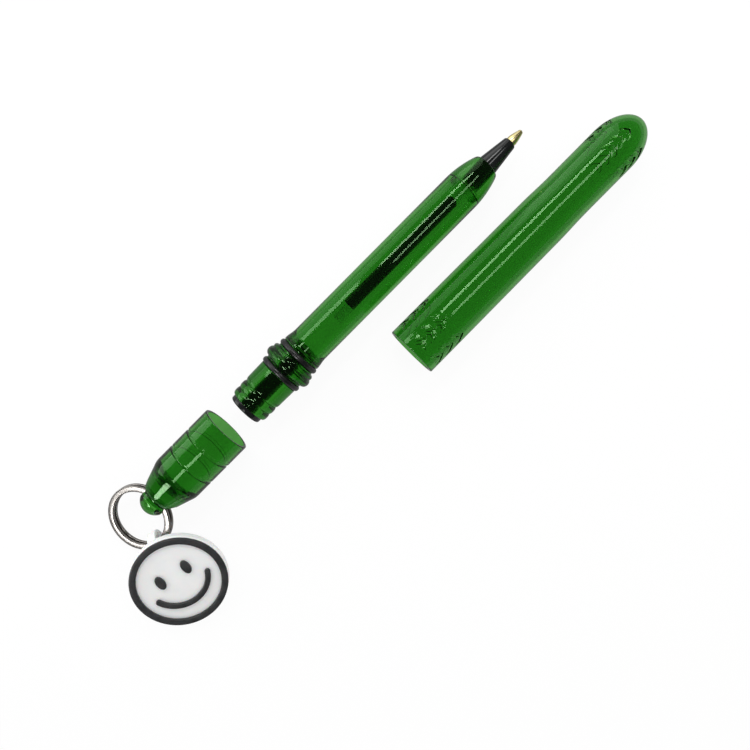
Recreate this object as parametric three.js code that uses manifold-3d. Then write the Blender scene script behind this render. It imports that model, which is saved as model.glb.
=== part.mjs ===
// Pocket pen laid out on a table: the pen body, its long cap drawn off beside it, and its end cap
// behind it with a split ring and a round charm. Millimetres, +X along the pen to the tip, +Z up.
import * as THREE from "three";
import { mergeVertices } from "three/addons/utils/BufferGeometryUtils.js";
import Module from "manifold-3d";

const wasm = await Module();
wasm.setup();

// Clearances
const seatGap = 0.05; // between faces that meet
const stemGap = 0.08; // round a stem pushed into a bore, per side
const inlayGap = 0.02; // under the raised figures of the charm
const tableGap = 0.01; // under the leaning ring and charm

// Tail plug
const plugHeadDiameter = 8.1;
const plugHeadLength = 1.3;
const plugHeadRound = 0.5;
const plugStemDiameter = 4.1;
const plugEnd = 18.9; // from the tail face
const plugStemRound = 0.5;

// Barrel: stations from the tail face, and diameters
const snapRidges = [
  { centre: 2.35, width: 1.9, diameter: 9.5 },
  { centre: 4.3, width: 2.0, diameter: 9.6 },
];
const snapRootDiameter = 8.9;
const stubFrom = 5.9;
const stubLeadIn = [0.3, 0.15]; // along and inwards
const stubDiameters = [9.6, 9.8];
const stubEnd = 10.7;
const sealGrooveWidth = 2.0;
const flangeEnd = 16.25;
const flangeRootDiameter = 9.9;
const rearFlangeRidge = { centre: 14.05, width: 2.5, diameter: 12.2 };
const frontFlangeRidge = { centre: 15.5, width: 1.4, diameter: 11.4 };
const collarDiameter = 10.05;
const collarTaperEnd = 22.7;
const collarLeadIn = [0.3, 0.15]; // along and inwards
const barrelDiameter = 9.38;
const shoulderStart = 69.0;
const shoulderEdge = 76.7;
const shoulderEdgeDiameter = 6.9;
const frontRound = [0.8, 0.25]; // along and inwards
const barrelFront = shoulderEdge + frontRound[0];
const barrelFrontDiameter = 5.9;
const barrelWall = 0.7;
const boreTaper = 3.0;
const frontBoreDepth = 6.4;
const plugBoreShort = 0.6; // the plug's stem stands this far into the wide bore

// Seals
const sealSection = 1.8;
const sealOuterDiameter = 10.7;
const sealGrooveFloorGap = 0.05;

// Refill: nose cone, brass point with its ball, ink tube and ink
const noseStemDiameter = 4.3;
const noseStemLength = 5.7;
const noseBaseDiameter = 5.0;
const noseBaseEdge = 0.12;
const noseFront = barrelFront + 7.6;
const noseFrontDiameter = 3.05;
const noseEdgeRound = 0.25;
const tubeSocketDepth = 4.0;
const pointShankDiameter = 1.6;
const pointShankLength = 6.5;
const pointBaseDiameter = 2.37;
const pointBaseLength = 0.85;
const pointBulge = [0.6, 0.1]; // of its curve, along and inwards
const tipEnd = noseFront + 3.85;
const pointLipDiameter = 1.0;
const inkChannelDiameter = 0.5;
const ballDiameter = 0.9;
const ballGap = 0.06;
const ballShowing = 0.2;
const tubeDiameter = 3.0;
const tubeWall = 0.45;
const tubeRear = 29.0; // from the tail face
const inkRear = 33.3;
const inkFront = 67.2;
const inkEndRound = 0.6;

// Long cap: stations from its mouth
const capLength = 73.6;
const capStations = [
  { at: 20, diameter: 12.4 },
  { at: 41, diameter: 12.2 },
];
const capMouthDiameter = 12.55;
const capWaistStart = 50.0;
const capWaistDiameter = 11.75;
const capDomeLength = 9.3;
const capWall = 0.875;
const capDomeWall = 0.8;
const capMouthRound = 0.15;

// Grip marks moulded into the long cap: chevrons that point to the dome
const chevronRows = 6;
const chevronsPerRow = 3;
const chevronDepth = 0.28;
const chevronStroke = 0.95;
const mouthChevron = { tip: 4.8, pitch: 3.1, arm: 1.85 };
const domeChevron = { tip: 62.8, pitch: 2.6, arm: 1.5 };

// End cap: stations from its mouth
const endCapLength = 26.1;
const endCapDiameter = 12.2;
const endCapShoulder = 15.1;
const endCapTaper = [
  { at: 17.0, diameter: 11.4 },
  { at: 18.8, diameter: 10.2 },
  { at: 21.5, diameter: 8.5 },
];
const nubDiameter = 7.0;
const nubFillet = 0.15;
const outerGrooves = [6.0, 11.1];
const outerGrooveWidth = 0.8;
const outerGrooveDepth = 0.22;
const capBoreDiameter = 10.8;
const endCapMouthRound = 0.12;
const cavityDepth = 18.2;
const cavityBend = 14.6;
const cavityEndDiameter = 7.4;
const cavityEdge = [0.4, 0.8]; // along and inwards
const cavityShoulder = [1.2, 0.45]; // along and inwards
const ringHoleDiameter = 3.8;
const ringHoleAt = 22.4;

// Split ring
const ringOuterDiameter = 15.8;
const ringWireWidth = 1.4;
const ringWireHeight = 0.75;
const ringTurnGap = 0.45;
const ringStepAngle = 125; // degrees from the end cap's hole, where one turn steps to the other
const ringStepHalf = 15;
const ringEndGap = 3;
const ringStepsPerTurn = 24;
const wireFlat = 0.6; // share of the wire's width that is flat

// Charm
const charmDiameter = 22.2;
const charmThickness = 2.1;
const charmEdgeRound = 0.35;
const figureHeight = 0.8;
const figureRound = 0.25;
const rimWidth = 1.4;
const rimInset = 0.1;
const eyeSpacing = 6.8;
const eyeAboveCentre = 2.2;
const eyeSize = [2.0, 3.5];
const smileRadius = 7.2;
const smileCentreAbove = 1.4;
const smileHalfAngle = 66;
const smileStroke = 1.3;
const eyeletAngle = 103; // degrees round the ring from the end cap's hole
const eyeletDiameter = 5.8;
const eyeletHoleDiameter = 3.8;
const eyeletWidth = 2.2;
const eyeletToCentre = 8.8;
const neckHeightShare = 0.8; // of the eyelet's diameter
const neckInset = 0.6;
const charmHeading = 257.9; // degrees, from the eyelet to the charm's centre

// Where the parts that are taken off lie
const endCapMouth = -5.85; // from the tail face
const longCapMouth = 35.8;
const longCapBeside = 17.5; // between the two axes

// How finely round shapes are cut
const roundSides = 28;
const smallSides = 24;

const rad = THREE.MathUtils.degToRad;
const range = (count) => Array.from({ length: count }, (_, i) => i);

// Positions only, shared between faces, without faces of no area.
function bare(geometry) {
  const copy = geometry.clone();
  for (const name of Object.keys(copy.attributes))
    if (name !== "position") copy.deleteAttribute(name);
  const merged = mergeVertices(copy, 1e-4);
  const index = Array.from(merged.index.array);
  const kept = [];
  for (let i = 0; i < index.length; i += 3) {
    const [a, b, c] = index.slice(i, i + 3);
    if (a !== b && b !== c && c !== a) kept.push(a, b, c);
  }
  merged.setIndex(kept);
  return merged;
}

// The same, with every face turned outwards.
function facingOut(geometry) {
  const merged = bare(geometry);
  const position = merged.attributes.position;
  const index = Array.from(merged.index.array);
  const [a, b, c] = [new THREE.Vector3(), new THREE.Vector3(), new THREE.Vector3()];
  let volume = 0;
  for (let i = 0; i < index.length; i += 3) {
    a.fromBufferAttribute(position, index[i]);
    b.fromBufferAttribute(position, index[i + 1]);
    c.fromBufferAttribute(position, index[i + 2]);
    volume += a.dot(b.cross(c));
  }
  if (volume < 0)
    for (let i = 0; i < index.length; i += 3)
      [index[i + 1], index[i + 2]] = [index[i + 2], index[i + 1]];
  merged.setIndex(index);
  return merged;
}

// A solid of revolution about the X axis, from a line of [x, radius] points that ends on the axis.
function revolveFull(points, sides = roundSides) {
  const lathe = new THREE.LatheGeometry(
    points.map(([x, r]) => new THREE.Vector2(r, x)),
    sides,
  );
  return facingOut(lathe.rotateZ(-Math.PI / 2));
}

// The same for a line that closes on itself round a bore.
const revolve = (points, sides = roundSides) => revolveFull([...points, points[0]], sides);

// Points on a rounded corner from one [x, radius] point to another.
function bend(from, corner, to, steps = 4) {
  const curve = new THREE.QuadraticBezierCurve(
    new THREE.Vector2(...from),
    new THREE.Vector2(...corner),
    new THREE.Vector2(...to),
  );
  return curve.getPoints(steps).map((p) => [p.x, p.y]);
}

// A rounded ridge, or a groove, that leaves a root radius for its crest and comes back.
function ridge({ centre, width, diameter }, rootRadius, steps = 6) {
  return range(steps + 1).map((i) => {
    const a = Math.PI * (1 - i / steps);
    const rise = (diameter / 2 - rootRadius) * Math.sin(a);
    return [centre + (width / 2) * Math.cos(a), rootRadius + rise];
  });
}

// A quarter ellipse from a radius down to the axis.
function dome(start, radius, length, steps = 8) {
  return range(steps + 1).map((i) => {
    const a = (Math.PI / 2) * (i / steps);
    return [start + length * Math.sin(a), i === steps ? 0 : radius * Math.cos(a)];
  });
}

// A smooth change of radius along the axis.
function drop(x0, r0, x1, r1, steps = 5) {
  return range(steps + 1).map((i) => {
    const t = i / steps;
    return [x0 + (x1 - x0) * t, r0 + (r1 - r0) * (0.5 - 0.5 * Math.cos(Math.PI * t))];
  });
}

// A closed geometry as a solid that can be cut and joined.
function solid(geometry) {
  const g = bare(geometry);
  return new wasm.Manifold(
    new wasm.Mesh({
      numProp: 3,
      vertProperties: new Float32Array(g.attributes.position.array),
      triVerts: new Uint32Array(g.index.array),
    }),
  );
}

function geometryOf(manifold) {
  const mesh = manifold.getMesh();
  return new THREE.BufferGeometry()
    .setAttribute("position", new THREE.BufferAttribute(new Float32Array(mesh.vertProperties), 3))
    .setIndex(Array.from(mesh.triVerts));
}

// A flat shape made thick along Z from zero, with its top and bottom edges rounded.
function raised(shape, height, edge, curveSegments) {
  const thick = new THREE.ExtrudeGeometry(shape, {
    depth: height - 2 * edge,
    bevelEnabled: true,
    bevelThickness: edge,
    bevelSize: edge,
    bevelOffset: -edge,
    bevelSegments: 2,
    curveSegments,
    steps: 1,
  });
  return thick.translate(0, 0, edge);
}

const finishes = {
  clearGreen: [0x1f7a2a, 0.12, 0],
  blackPlastic: [0x1a1c1c, 0.4, 0],
  blackRubber: [0x151516, 0.35, 0],
  brass: [0xd9b84a, 0.25, 0.9],
  steel: [0xb5afaa, 0.25, 0.9],
  clearTube: [0xdfe6e2, 0.2, 0],
  ink: [0x07080a, 0.3, 0],
  whiteVinyl: [0xf2f3f3, 0.5, 0],
  blackVinyl: [0x2e2f30, 0.5, 0],
};

function piece(name, geometry, finish) {
  const [color, roughness, metalness] = finishes[finish];
  const material = new THREE.MeshStandardMaterial({ color, roughness, metalness });
  const mesh = new THREE.Mesh(facingOut(geometry), material);
  mesh.name = name;
  return mesh;
}

const flangeStart = stubEnd + sealGrooveWidth;
const gripStart = flangeEnd + sealGrooveWidth;
const sealInnerRadius = sealOuterDiameter / 2 - sealSection;
const grooveRadius = sealInnerRadius - sealGrooveFloorGap;
const stubStart = plugHeadLength + seatGap;
const noseBase = barrelFront + seatGap;
const noseRear = noseBase - noseStemLength;
const penAxis = rearFlangeRidge.diameter / 2;

// The flange's crest line: the higher of its two ridges at every station.
function flangeLine() {
  const root = flangeRootDiameter / 2;
  const height = ({ centre, width, diameter }, x) => {
    const t = (2 * (x - centre)) / width;
    return Math.abs(t) < 1 ? (diameter / 2 - root) * Math.sqrt(1 - t * t) : 0;
  };
  const crest = (x) => root + Math.max(height(rearFlangeRidge, x), height(frontFlangeRidge, x));
  const stations = [
    ...ridge(rearFlangeRidge, root, 8).map(([x]) => x),
    ...ridge(frontFlangeRidge, root, 6).map(([x]) => x),
  ].sort((a, b) => a - b);
  const apart = stations.filter((x, i) => i === 0 || x - stations[i - 1] > 0.06);
  return apart.map((x) => [x, crest(x)]);
}

function barrel() {
  const stemBore = plugStemDiameter / 2 + stemGap;
  const frontBore = noseStemDiameter / 2 + stemGap;
  const wideBore = barrelDiameter / 2 - barrelWall;
  const [rearRidge, frontRidge] = snapRidges;
  const root = snapRootDiameter / 2;
  const body = barrelDiameter / 2;
  const edge = shoulderEdgeDiameter / 2;
  return piece(
    "barrel",
    revolve([
      [stubStart, root],
      ...ridge(rearRidge, root),
      ...ridge(frontRidge, root),
      [stubFrom - stubLeadIn[0], stubDiameters[0] / 2 - stubLeadIn[1]],
      [stubFrom, stubDiameters[0] / 2],
      [stubEnd, stubDiameters[1] / 2],
      [stubEnd, grooveRadius],
      [flangeStart, grooveRadius],
      [flangeStart, flangeRootDiameter / 2],
      ...flangeLine(),
      [flangeEnd, flangeRootDiameter / 2],
      [flangeEnd, grooveRadius],
      [gripStart, grooveRadius],
      [gripStart, collarDiameter / 2 - collarLeadIn[1]],
      ...drop(gripStart + collarLeadIn[0], collarDiameter / 2, collarTaperEnd, body, 4),
      ...bend([shoulderStart, body], [(shoulderStart + shoulderEdge) / 2, body], [shoulderEdge, edge], 6),
      ...bend(
        [shoulderEdge, edge],
        [barrelFront, edge - frontRound[1]],
        [barrelFront, barrelFrontDiameter / 2],
        3,
      ).slice(1),
      [barrelFront, frontBore],
      [barrelFront - frontBoreDepth, frontBore],
      [barrelFront - frontBoreDepth - boreTaper, wideBore],
      [plugEnd + boreTaper - plugBoreShort, wideBore],
      [plugEnd - plugBoreShort, stemBore],
      [stubStart, stemBore],
    ]),
    "clearGreen",
  );
}

function seal(name, grooveStart) {
  const tube = new THREE.TorusGeometry(
    sealInnerRadius + sealSection / 2,
    sealSection / 2,
    8,
    roundSides,
  );
  tube.rotateY(Math.PI / 2).translate(grooveStart + sealGrooveWidth / 2, 0, 0);
  return piece(name, tube, "blackRubber");
}

function tailPlug() {
  const head = plugHeadDiameter / 2;
  const stem = plugStemDiameter / 2;
  const inset = stem - plugStemRound;
  return piece(
    "tail_plug",
    revolveFull(
      [
        [0, 0],
        ...bend([0, head - plugHeadRound], [0, head], [plugHeadRound, head], 3),
        [plugHeadLength, head],
        [plugHeadLength, stem],
        ...bend([plugEnd - plugStemRound, stem], [plugEnd, stem], [plugEnd, inset], 3),
        [plugEnd, 0],
      ],
      smallSides,
    ),
    "blackPlastic",
  );
}

function noseCone() {
  const stem = noseStemDiameter / 2;
  const base = noseBaseDiameter / 2;
  const socket = tubeDiameter / 2 + seatGap;
  const shank = pointShankDiameter / 2 + seatGap;
  const front = noseFrontDiameter / 2;
  const edge = front - noseEdgeRound;
  return piece(
    "nose_cone",
    revolve(
      [
        [noseRear, socket],
        [noseRear, stem - noseEdgeRound],
        [noseRear + noseEdgeRound, stem],
        [noseBase, stem],
        [noseBase, base - noseBaseEdge],
        [noseBase + noseBaseEdge, base],
        ...bend([noseFront - noseEdgeRound, front], [noseFront, front], [noseFront, edge], 3),
        [noseFront, shank],
        [noseRear + tubeSocketDepth, shank],
        [noseRear + tubeSocketDepth, socket],
      ],
      smallSides,
    ),
    "blackPlastic",
  );
}

const ballCentre = tipEnd - ballDiameter / 2;
const lip = tipEnd - ballShowing;

function brassPoint() {
  const start = noseFront + seatGap;
  const base = pointBaseDiameter / 2;
  const socket = ballDiameter / 2 + ballGap;
  const channel = inkChannelDiameter / 2;
  const lipAngle = Math.acos((lip - ballCentre) / socket);
  const backAngle = Math.PI - Math.asin(channel / socket);
  const cup = range(6).map((i) => {
    const a = lipAngle + ((backAngle - lipAngle) * i) / 5;
    return [ballCentre + socket * Math.cos(a), socket * Math.sin(a)];
  });
  return piece(
    "tip_body",
    revolve(
      [
        [start - pointShankLength, channel],
        [start - pointShankLength, pointShankDiameter / 2],
        [start, pointShankDiameter / 2],
        [start, base],
        ...bend(
          [start + pointBaseLength, base],
          [(start + lip) / 2 + pointBulge[0], base - pointBulge[1]],
          [lip, pointLipDiameter / 2],
          6,
        ),
        ...cup,
      ],
      smallSides,
    ),
    "brass",
  );
}

function writingBall() {
  const ball = new THREE.SphereGeometry(ballDiameter / 2, 16, 10);
  return piece("writing_ball", ball.translate(ballCentre, 0, 0), "steel");
}

function inkTube() {
  const outer = tubeDiameter / 2;
  const inner = outer - tubeWall;
  const front = noseRear + tubeSocketDepth - seatGap;
  const line = [
    [tubeRear, inner],
    [tubeRear, outer],
    [front, outer],
    [front, inner],
  ];
  return piece("ink_tube", revolve(line, smallSides), "clearTube");
}

function inkColumn() {
  const radius = tubeDiameter / 2 - tubeWall - seatGap;
  const inset = radius - inkEndRound;
  return piece(
    "ink_column",
    revolveFull(
      [
        [inkRear, 0],
        ...bend([inkRear, inset], [inkRear, radius], [inkRear + inkEndRound, radius], 3),
        ...bend([inkFront - inkEndRound, radius], [inkFront, radius], [inkFront, inset], 3),
        [inkFront, 0],
      ],
      smallSides,
    ),
    "ink",
  );
}

// The long cap's line from behind its mouth to the end of its dome, drawn in by a wall.
function capLine(inset) {
  const waist = capWaistDiameter / 2 - inset;
  const last = capStations[capStations.length - 1];
  return [
    ...capStations.map(({ at, diameter }) => [at, diameter / 2 - inset]),
    ...drop(last.at, last.diameter / 2 - inset, capWaistStart, waist, 4).slice(1),
    ...dome(capLength - capDomeLength, waist, capDomeLength - Math.min(inset, capDomeWall)),
  ];
}

// A V-shaped bar that stands out of the cap's side, its tip towards the dome.
function chevron({ tip, arm }, turn) {
  const outline = new THREE.Shape();
  outline.moveTo(tip, 0);
  outline.lineTo(tip - arm, arm);
  outline.lineTo(tip - arm - chevronStroke, arm);
  outline.lineTo(tip - chevronStroke, 0);
  outline.lineTo(tip - arm - chevronStroke, -arm);
  outline.lineTo(tip - arm, -arm);
  const bar = new THREE.ExtrudeGeometry(outline, {
    depth: capMouthDiameter / 2,
    bevelEnabled: false,
    steps: 1,
  });
  return solid(bar.translate(0, 0, 1).rotateX(turn));
}

function longCap() {
  const mouth = capMouthDiameter / 2;
  const bore = mouth - capWall;
  const shell = solid(
    revolve([
      [0, bore + capMouthRound],
      [0, mouth - capMouthRound],
      [capMouthRound, mouth],
      ...capLine(0),
      ...capLine(capWall).reverse(),
      [capMouthRound, bore],
    ]),
  );
  const coreMouth = mouth - chevronDepth;
  const core = solid(revolveFull([[-1, 0], [-1, coreMouth], [0, coreMouth], ...capLine(chevronDepth)]));
  const marks = [];
  for (const row of range(chevronRows)) {
    const turn = (2 * Math.PI * row) / chevronRows;
    for (const i of range(chevronsPerRow))
      for (const mark of [mouthChevron, domeChevron])
        marks.push(chevron({ tip: mark.tip + i * mark.pitch, arm: mark.arm }, turn));
  }
  const cuts = wasm.Manifold.union(marks).subtract(core);
  const cap = piece("long_cap", geometryOf(shell.subtract(cuts)), "clearGreen");
  cap.geometry.translate(longCapMouth, -longCapBeside, mouth - penAxis);
  return cap;
}

// Turns a line drawn from the end cap's mouth into stations of the pen.
const behindMouth = (points) => points.map(([x, r]) => [endCapMouth - x, r]);

function endCapBody() {
  const body = endCapDiameter / 2;
  const bore = capBoreDiameter / 2;
  const nub = nubDiameter / 2;
  const [first, second, last] = endCapTaper.map(({ at, diameter }) => [at, diameter / 2]);
  const groove = (centre) =>
    ridge({ centre, width: outerGrooveWidth, diameter: 2 * (body - outerGrooveDepth) }, body, 4);
  const outside = [
    [0, body - endCapMouthRound],
    [endCapMouthRound, body],
    ...outerGrooves.flatMap(groove),
    ...bend([endCapShoulder, body], [endCapShoulder + 1, body], first, 3),
    second,
    last,
    [last[0] + nubFillet, nub + nubFillet],
    ...dome(endCapLength - nub, nub, nub),
  ];
  const inside = [
    [cavityDepth, 0],
    [cavityDepth, cavityEndDiameter / 2 - cavityEdge[1]],
    [cavityDepth - cavityEdge[0], cavityEndDiameter / 2],
    [cavityBend + cavityShoulder[0], bore - cavityShoulder[1]],
    [cavityBend, bore],
    [endCapMouthRound, bore],
    [0, bore + endCapMouthRound],
  ];
  return revolveFull(behindMouth([...inside, ...outside]));
}

const ringHoleX = endCapMouth - ringHoleAt;

function endCap() {
  const drill = new THREE.CylinderGeometry(ringHoleDiameter / 2, ringHoleDiameter / 2, 20, 24);
  drill.translate(ringHoleX, 0, 0);
  return piece("end_cap", geometryOf(solid(endCapBody()).subtract(solid(drill))), "clearGreen");
}

// The ring hangs in the nub's hole and leans down until its far side meets the table.
const ringRadius = (ringOuterDiameter - ringWireWidth) / 2;
const ringHeight = 2 * ringWireHeight + ringTurnGap;
const ringBow = ringRadius - Math.sqrt(ringRadius ** 2 - (nubDiameter / 2) ** 2);
const ringReach = ringRadius - ringBow / 2;
const ringFarEdge = ringReach + ringOuterDiameter / 2;
const ringLean =
  Math.asin((penAxis - tableGap) / Math.hypot(ringFarEdge, ringHeight / 2)) -
  Math.atan(ringHeight / 2 / ringFarEdge);
const ringAlong = new THREE.Vector3(Math.cos(ringLean), 0, Math.sin(ringLean));
const ringAcross = new THREE.Vector3(0, 1, 0);
const ringNormal = new THREE.Vector3().crossVectors(ringAlong, ringAcross);
const ringCentre = new THREE.Vector3(ringHoleX, 0, 0).addScaledVector(ringAlong, -ringReach);

// A direction in the ring's plane, by the angle from the end cap's hole.
const ringDirection = (angle) =>
  new THREE.Vector3()
    .addScaledVector(ringAlong, Math.cos(angle))
    .addScaledVector(ringAcross, Math.sin(angle));

// Two flat turns of wire with one step from the lower to the upper.
function splitRing() {
  const stepAt = rad(ringStepAngle);
  const half = rad(ringStepHalf);
  const start = stepAt + half + rad(ringEndGap);
  const end = stepAt + 4 * Math.PI - half - rad(ringEndGap);
  const steps = Math.round(((end - start) / (2 * Math.PI)) * ringStepsPerTurn);
  const [w, h] = [ringWireWidth / 2, ringWireHeight / 2];
  const section = [
    [w, 0],
    [w * wireFlat, h],
    [-w * wireFlat, h],
    [-w, 0],
    [-w * wireFlat, -h],
    [w * wireFlat, -h],
  ];
  const middle = stepAt + 2 * Math.PI;
  const loops = range(steps + 1).map((i) => {
    const angle = start + ((end - start) * i) / steps;
    const t = THREE.MathUtils.smoothstep(angle, middle - half, middle + half);
    const lift = (ringWireHeight + ringTurnGap) * (t - 0.5);
    const outward = ringDirection(angle);
    return section.map(([u, v]) =>
      ringCentre
        .clone()
        .addScaledVector(outward, ringRadius + u)
        .addScaledVector(ringNormal, lift + v),
    );
  });
  console.log("split ring: least gap to itself", leastGap(loops).toFixed(2), "mm");
  return piece("split_ring", skin(loops), "steel");
}

// Joins loops of points into a tube with flat ends.
function skin(loops) {
  const sides = loops[0].length;
  const points = loops.flat().flatMap((p) => [p.x, p.y, p.z]);
  const index = [];
  for (const i of range(loops.length - 1))
    for (const j of range(sides)) {
      const [a, b] = [i * sides + j, i * sides + ((j + 1) % sides)];
      index.push(a, b, a + sides, b, b + sides, a + sides);
    }
  const last = (loops.length - 1) * sides;
  for (const j of range(sides - 2)) {
    index.push(0, j + 2, j + 1);
    index.push(last, last + j + 1, last + j + 2);
  }
  return new THREE.BufferGeometry()
    .setAttribute("position", new THREE.Float32BufferAttribute(points, 3))
    .setIndex(index);
}

// The least distance between points of the wire that are more than half a turn apart.
function leastGap(loops) {
  let least = Infinity;
  for (let i = 0; i < loops.length; i++)
    for (let k = i + ringStepsPerTurn / 2; k < loops.length; k++)
      for (const a of loops[i])
        for (const b of loops[k]) least = Math.min(least, a.distanceTo(b));
  return least;
}

// The charm hangs by its eyelet from the ring and leans until its far edge meets the table.
const eyeletAt = ringCentre.clone().addScaledVector(ringDirection(-rad(eyeletAngle)), ringRadius);
const charmDrop = eyeletDiameter / 2; // from the eyelet's axis up to the disc's underside
const charmFarEdge = eyeletToCentre + charmDiameter / 2;
const charmLean =
  Math.asin((eyeletAt.z + penAxis - tableGap) / Math.hypot(charmFarEdge, charmDrop)) +
  Math.atan(charmDrop / charmFarEdge);

// Places a shape drawn on the charm: X to its right, Y up its face, from its centre's underside.
function onCharm(geometry, height = 0) {
  const heading = rad(charmHeading);
  const down = new THREE.Vector3(
    Math.cos(heading) * Math.cos(charmLean),
    Math.sin(heading) * Math.cos(charmLean),
    -Math.sin(charmLean),
  );
  const right = new THREE.Vector3(-Math.sin(heading), Math.cos(heading), 0);
  const up = down.clone().negate();
  const normal = new THREE.Vector3().crossVectors(right, up);
  const origin = eyeletAt
    .clone()
    .addScaledVector(down, eyeletToCentre)
    .addScaledVector(normal, charmDrop + height);
  const place = new THREE.Matrix4().makeBasis(right, up, normal).setPosition(origin);
  return geometry.applyMatrix4(place);
}

function charmBase() {
  const disc = new THREE.Shape().absarc(0, 0, charmDiameter / 2, 0, 2 * Math.PI);
  const plate = solid(raised(disc, charmThickness, charmEdgeRound, 24));
  const lug = new THREE.CylinderGeometry(eyeletDiameter / 2, eyeletDiameter / 2, eyeletWidth, 24);
  lug.rotateZ(Math.PI / 2).translate(0, eyeletToCentre, -charmDrop);
  const intoDisc = charmThickness / 4;
  const neck = new THREE.BoxGeometry(eyeletWidth, eyeletDiameter * neckHeightShare, charmDrop + intoDisc);
  neck.translate(0, eyeletToCentre - neckInset, (intoDisc - charmDrop) / 2);
  const hole = new THREE.CylinderGeometry(eyeletHoleDiameter / 2, eyeletHoleDiameter / 2, 6, 24);
  hole.rotateZ(Math.PI / 2).translate(0, eyeletToCentre, -charmDrop);
  const whole = plate.add(solid(lug)).add(solid(neck)).subtract(solid(hole));
  return piece("charm_base", onCharm(geometryOf(whole)), "whiteVinyl");
}

const onFace = (shape, curveSegments) =>
  onCharm(raised(shape, figureHeight, figureRound, curveSegments), charmThickness + inlayGap);

function charmRim() {
  const outer = charmDiameter / 2 - rimInset;
  const band = new THREE.Shape().absarc(0, 0, outer, 0, 2 * Math.PI);
  band.holes.push(new THREE.Path().absarc(0, 0, outer - rimWidth, 0, 2 * Math.PI, true));
  return piece("charm_rim", onFace(band, 16), "blackVinyl");
}

function charmEye(name, side) {
  const [width, height] = eyeSize;
  const oval = new THREE.Shape().absellipse(
    (side * eyeSpacing) / 2,
    eyeAboveCentre,
    width / 2,
    height / 2,
    0,
    2 * Math.PI,
  );
  return piece(name, onFace(oval, 7), "blackVinyl");
}

// An arc of even width with round ends.
function charmSmile() {
  const mouth = new THREE.Shape();
  const [inner, outer] = [smileRadius - smileStroke / 2, smileRadius + smileStroke / 2];
  const [from, to] = [rad(270 - smileHalfAngle), rad(270 + smileHalfAngle)];
  const endAt = (angle) => [
    smileRadius * Math.cos(angle),
    smileCentreAbove + smileRadius * Math.sin(angle),
  ];
  mouth.absarc(0, smileCentreAbove, outer, from, to, false);
  mouth.absarc(...endAt(to), smileStroke / 2, to, to + Math.PI, false);
  mouth.absarc(0, smileCentreAbove, inner, to, from, true);
  mouth.absarc(...endAt(from), smileStroke / 2, from + Math.PI, from + 2 * Math.PI, false);
  return piece("charm_smile", onFace(mouth, 6), "blackVinyl");
}

const pen = new THREE.Group();
pen.name = "pocket_pen";
pen.add(
  barrel(),
  seal("rear_o_ring", stubEnd),
  seal("front_o_ring", flangeEnd),
  tailPlug(),
  noseCone(),
  brassPoint(),
  writingBall(),
  inkTube(),
  inkColumn(),
  longCap(),
  endCap(),
  splitRing(),
  charmBase(),
  charmRim(),
  charmEye("charm_left_eye", -1),
  charmEye("charm_right_eye", 1),
  charmSmile(),
);

// The origin is the middle of the underside.
const bounds = new THREE.Box3().setFromObject(pen);
const middle = bounds.getCenter(new THREE.Vector3());
const shift = new THREE.Vector3(-middle.x, -middle.y, -bounds.min.z);
for (const part of pen.children) part.geometry.translate(shift.x, shift.y, shift.z);
const shown = (v) =>
  v
    .toArray()
    .map((n) => n.toFixed(3))
    .join(", ");
console.log("size", shown(bounds.getSize(new THREE.Vector3())));
console.log("tail face centre", shown(shift));
console.log("ring hole centre", shown(new THREE.Vector3(ringHoleX, 0, 0).add(shift)));
console.log("eyelet centre", shown(eyeletAt.clone().add(shift)));
console.log("ball centre", shown(new THREE.Vector3(ballCentre, 0, 0).add(shift)));

export default pen;
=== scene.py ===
"""Visual model of a pocket pen that is laid out in three parts on a plain pale table.

The barrel with its refill lies in the middle, the long cap beside it, and the end cap with its
split ring and round charm behind it. Sizes in the classes are millimetres. Every mesh is made in
metres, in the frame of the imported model.
"""

import logging
import math
from dataclasses import dataclass
from enum import Enum
from typing import Any, Callable

import bmesh
import bpy
from bmesh.types import BMesh, BMVert
from bpy.types import Material, Node, NodeSocket, NodeTree, Object, World
from mathutils import Matrix, Vector


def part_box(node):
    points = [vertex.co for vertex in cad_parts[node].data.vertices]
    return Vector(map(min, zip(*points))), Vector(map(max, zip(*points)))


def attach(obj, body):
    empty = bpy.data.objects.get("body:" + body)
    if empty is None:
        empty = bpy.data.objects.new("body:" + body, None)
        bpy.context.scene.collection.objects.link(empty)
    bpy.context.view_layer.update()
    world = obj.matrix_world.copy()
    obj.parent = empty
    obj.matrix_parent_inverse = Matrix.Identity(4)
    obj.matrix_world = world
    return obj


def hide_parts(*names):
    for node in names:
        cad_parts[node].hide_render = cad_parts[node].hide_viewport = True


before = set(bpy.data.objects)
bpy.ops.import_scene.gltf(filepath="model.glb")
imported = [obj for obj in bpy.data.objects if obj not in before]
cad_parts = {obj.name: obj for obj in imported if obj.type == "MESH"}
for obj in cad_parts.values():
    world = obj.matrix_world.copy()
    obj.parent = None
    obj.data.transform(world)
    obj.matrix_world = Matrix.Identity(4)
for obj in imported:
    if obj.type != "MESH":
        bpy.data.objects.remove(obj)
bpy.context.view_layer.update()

log = logging.getLogger("pocket_pen")

METRES = 0.001

# How many sides turned pieces have, by how large they show.
ROUND_SIDES = 128
SMALL_SIDES = 96
BALL_SIDES = 48
DISC_SIDES = 160
LOW_SIDES = 64

WHITE = (1.0, 1.0, 1.0, 1.0)
MATH = "ShaderNodeMath"
NOISE = "ShaderNodeTexNoise"

# Points that lie closer than this, in millimetres, are one point.
TOUCHING = 1e-5

# Points that lie closer to the axis than this, in millimetres, are on it.
ON_AXIS = 1e-6

# The end cap's nub and its cross hole, which the split ring hangs in, in millimetres.
NUB_DIAMETER = 7.0
NUB_HOLE_AT = 22.4

# Turns a piece's axis from X to Z.
UPRIGHT = Matrix.Rotation(-math.pi / 2, 4, "Y")

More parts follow.
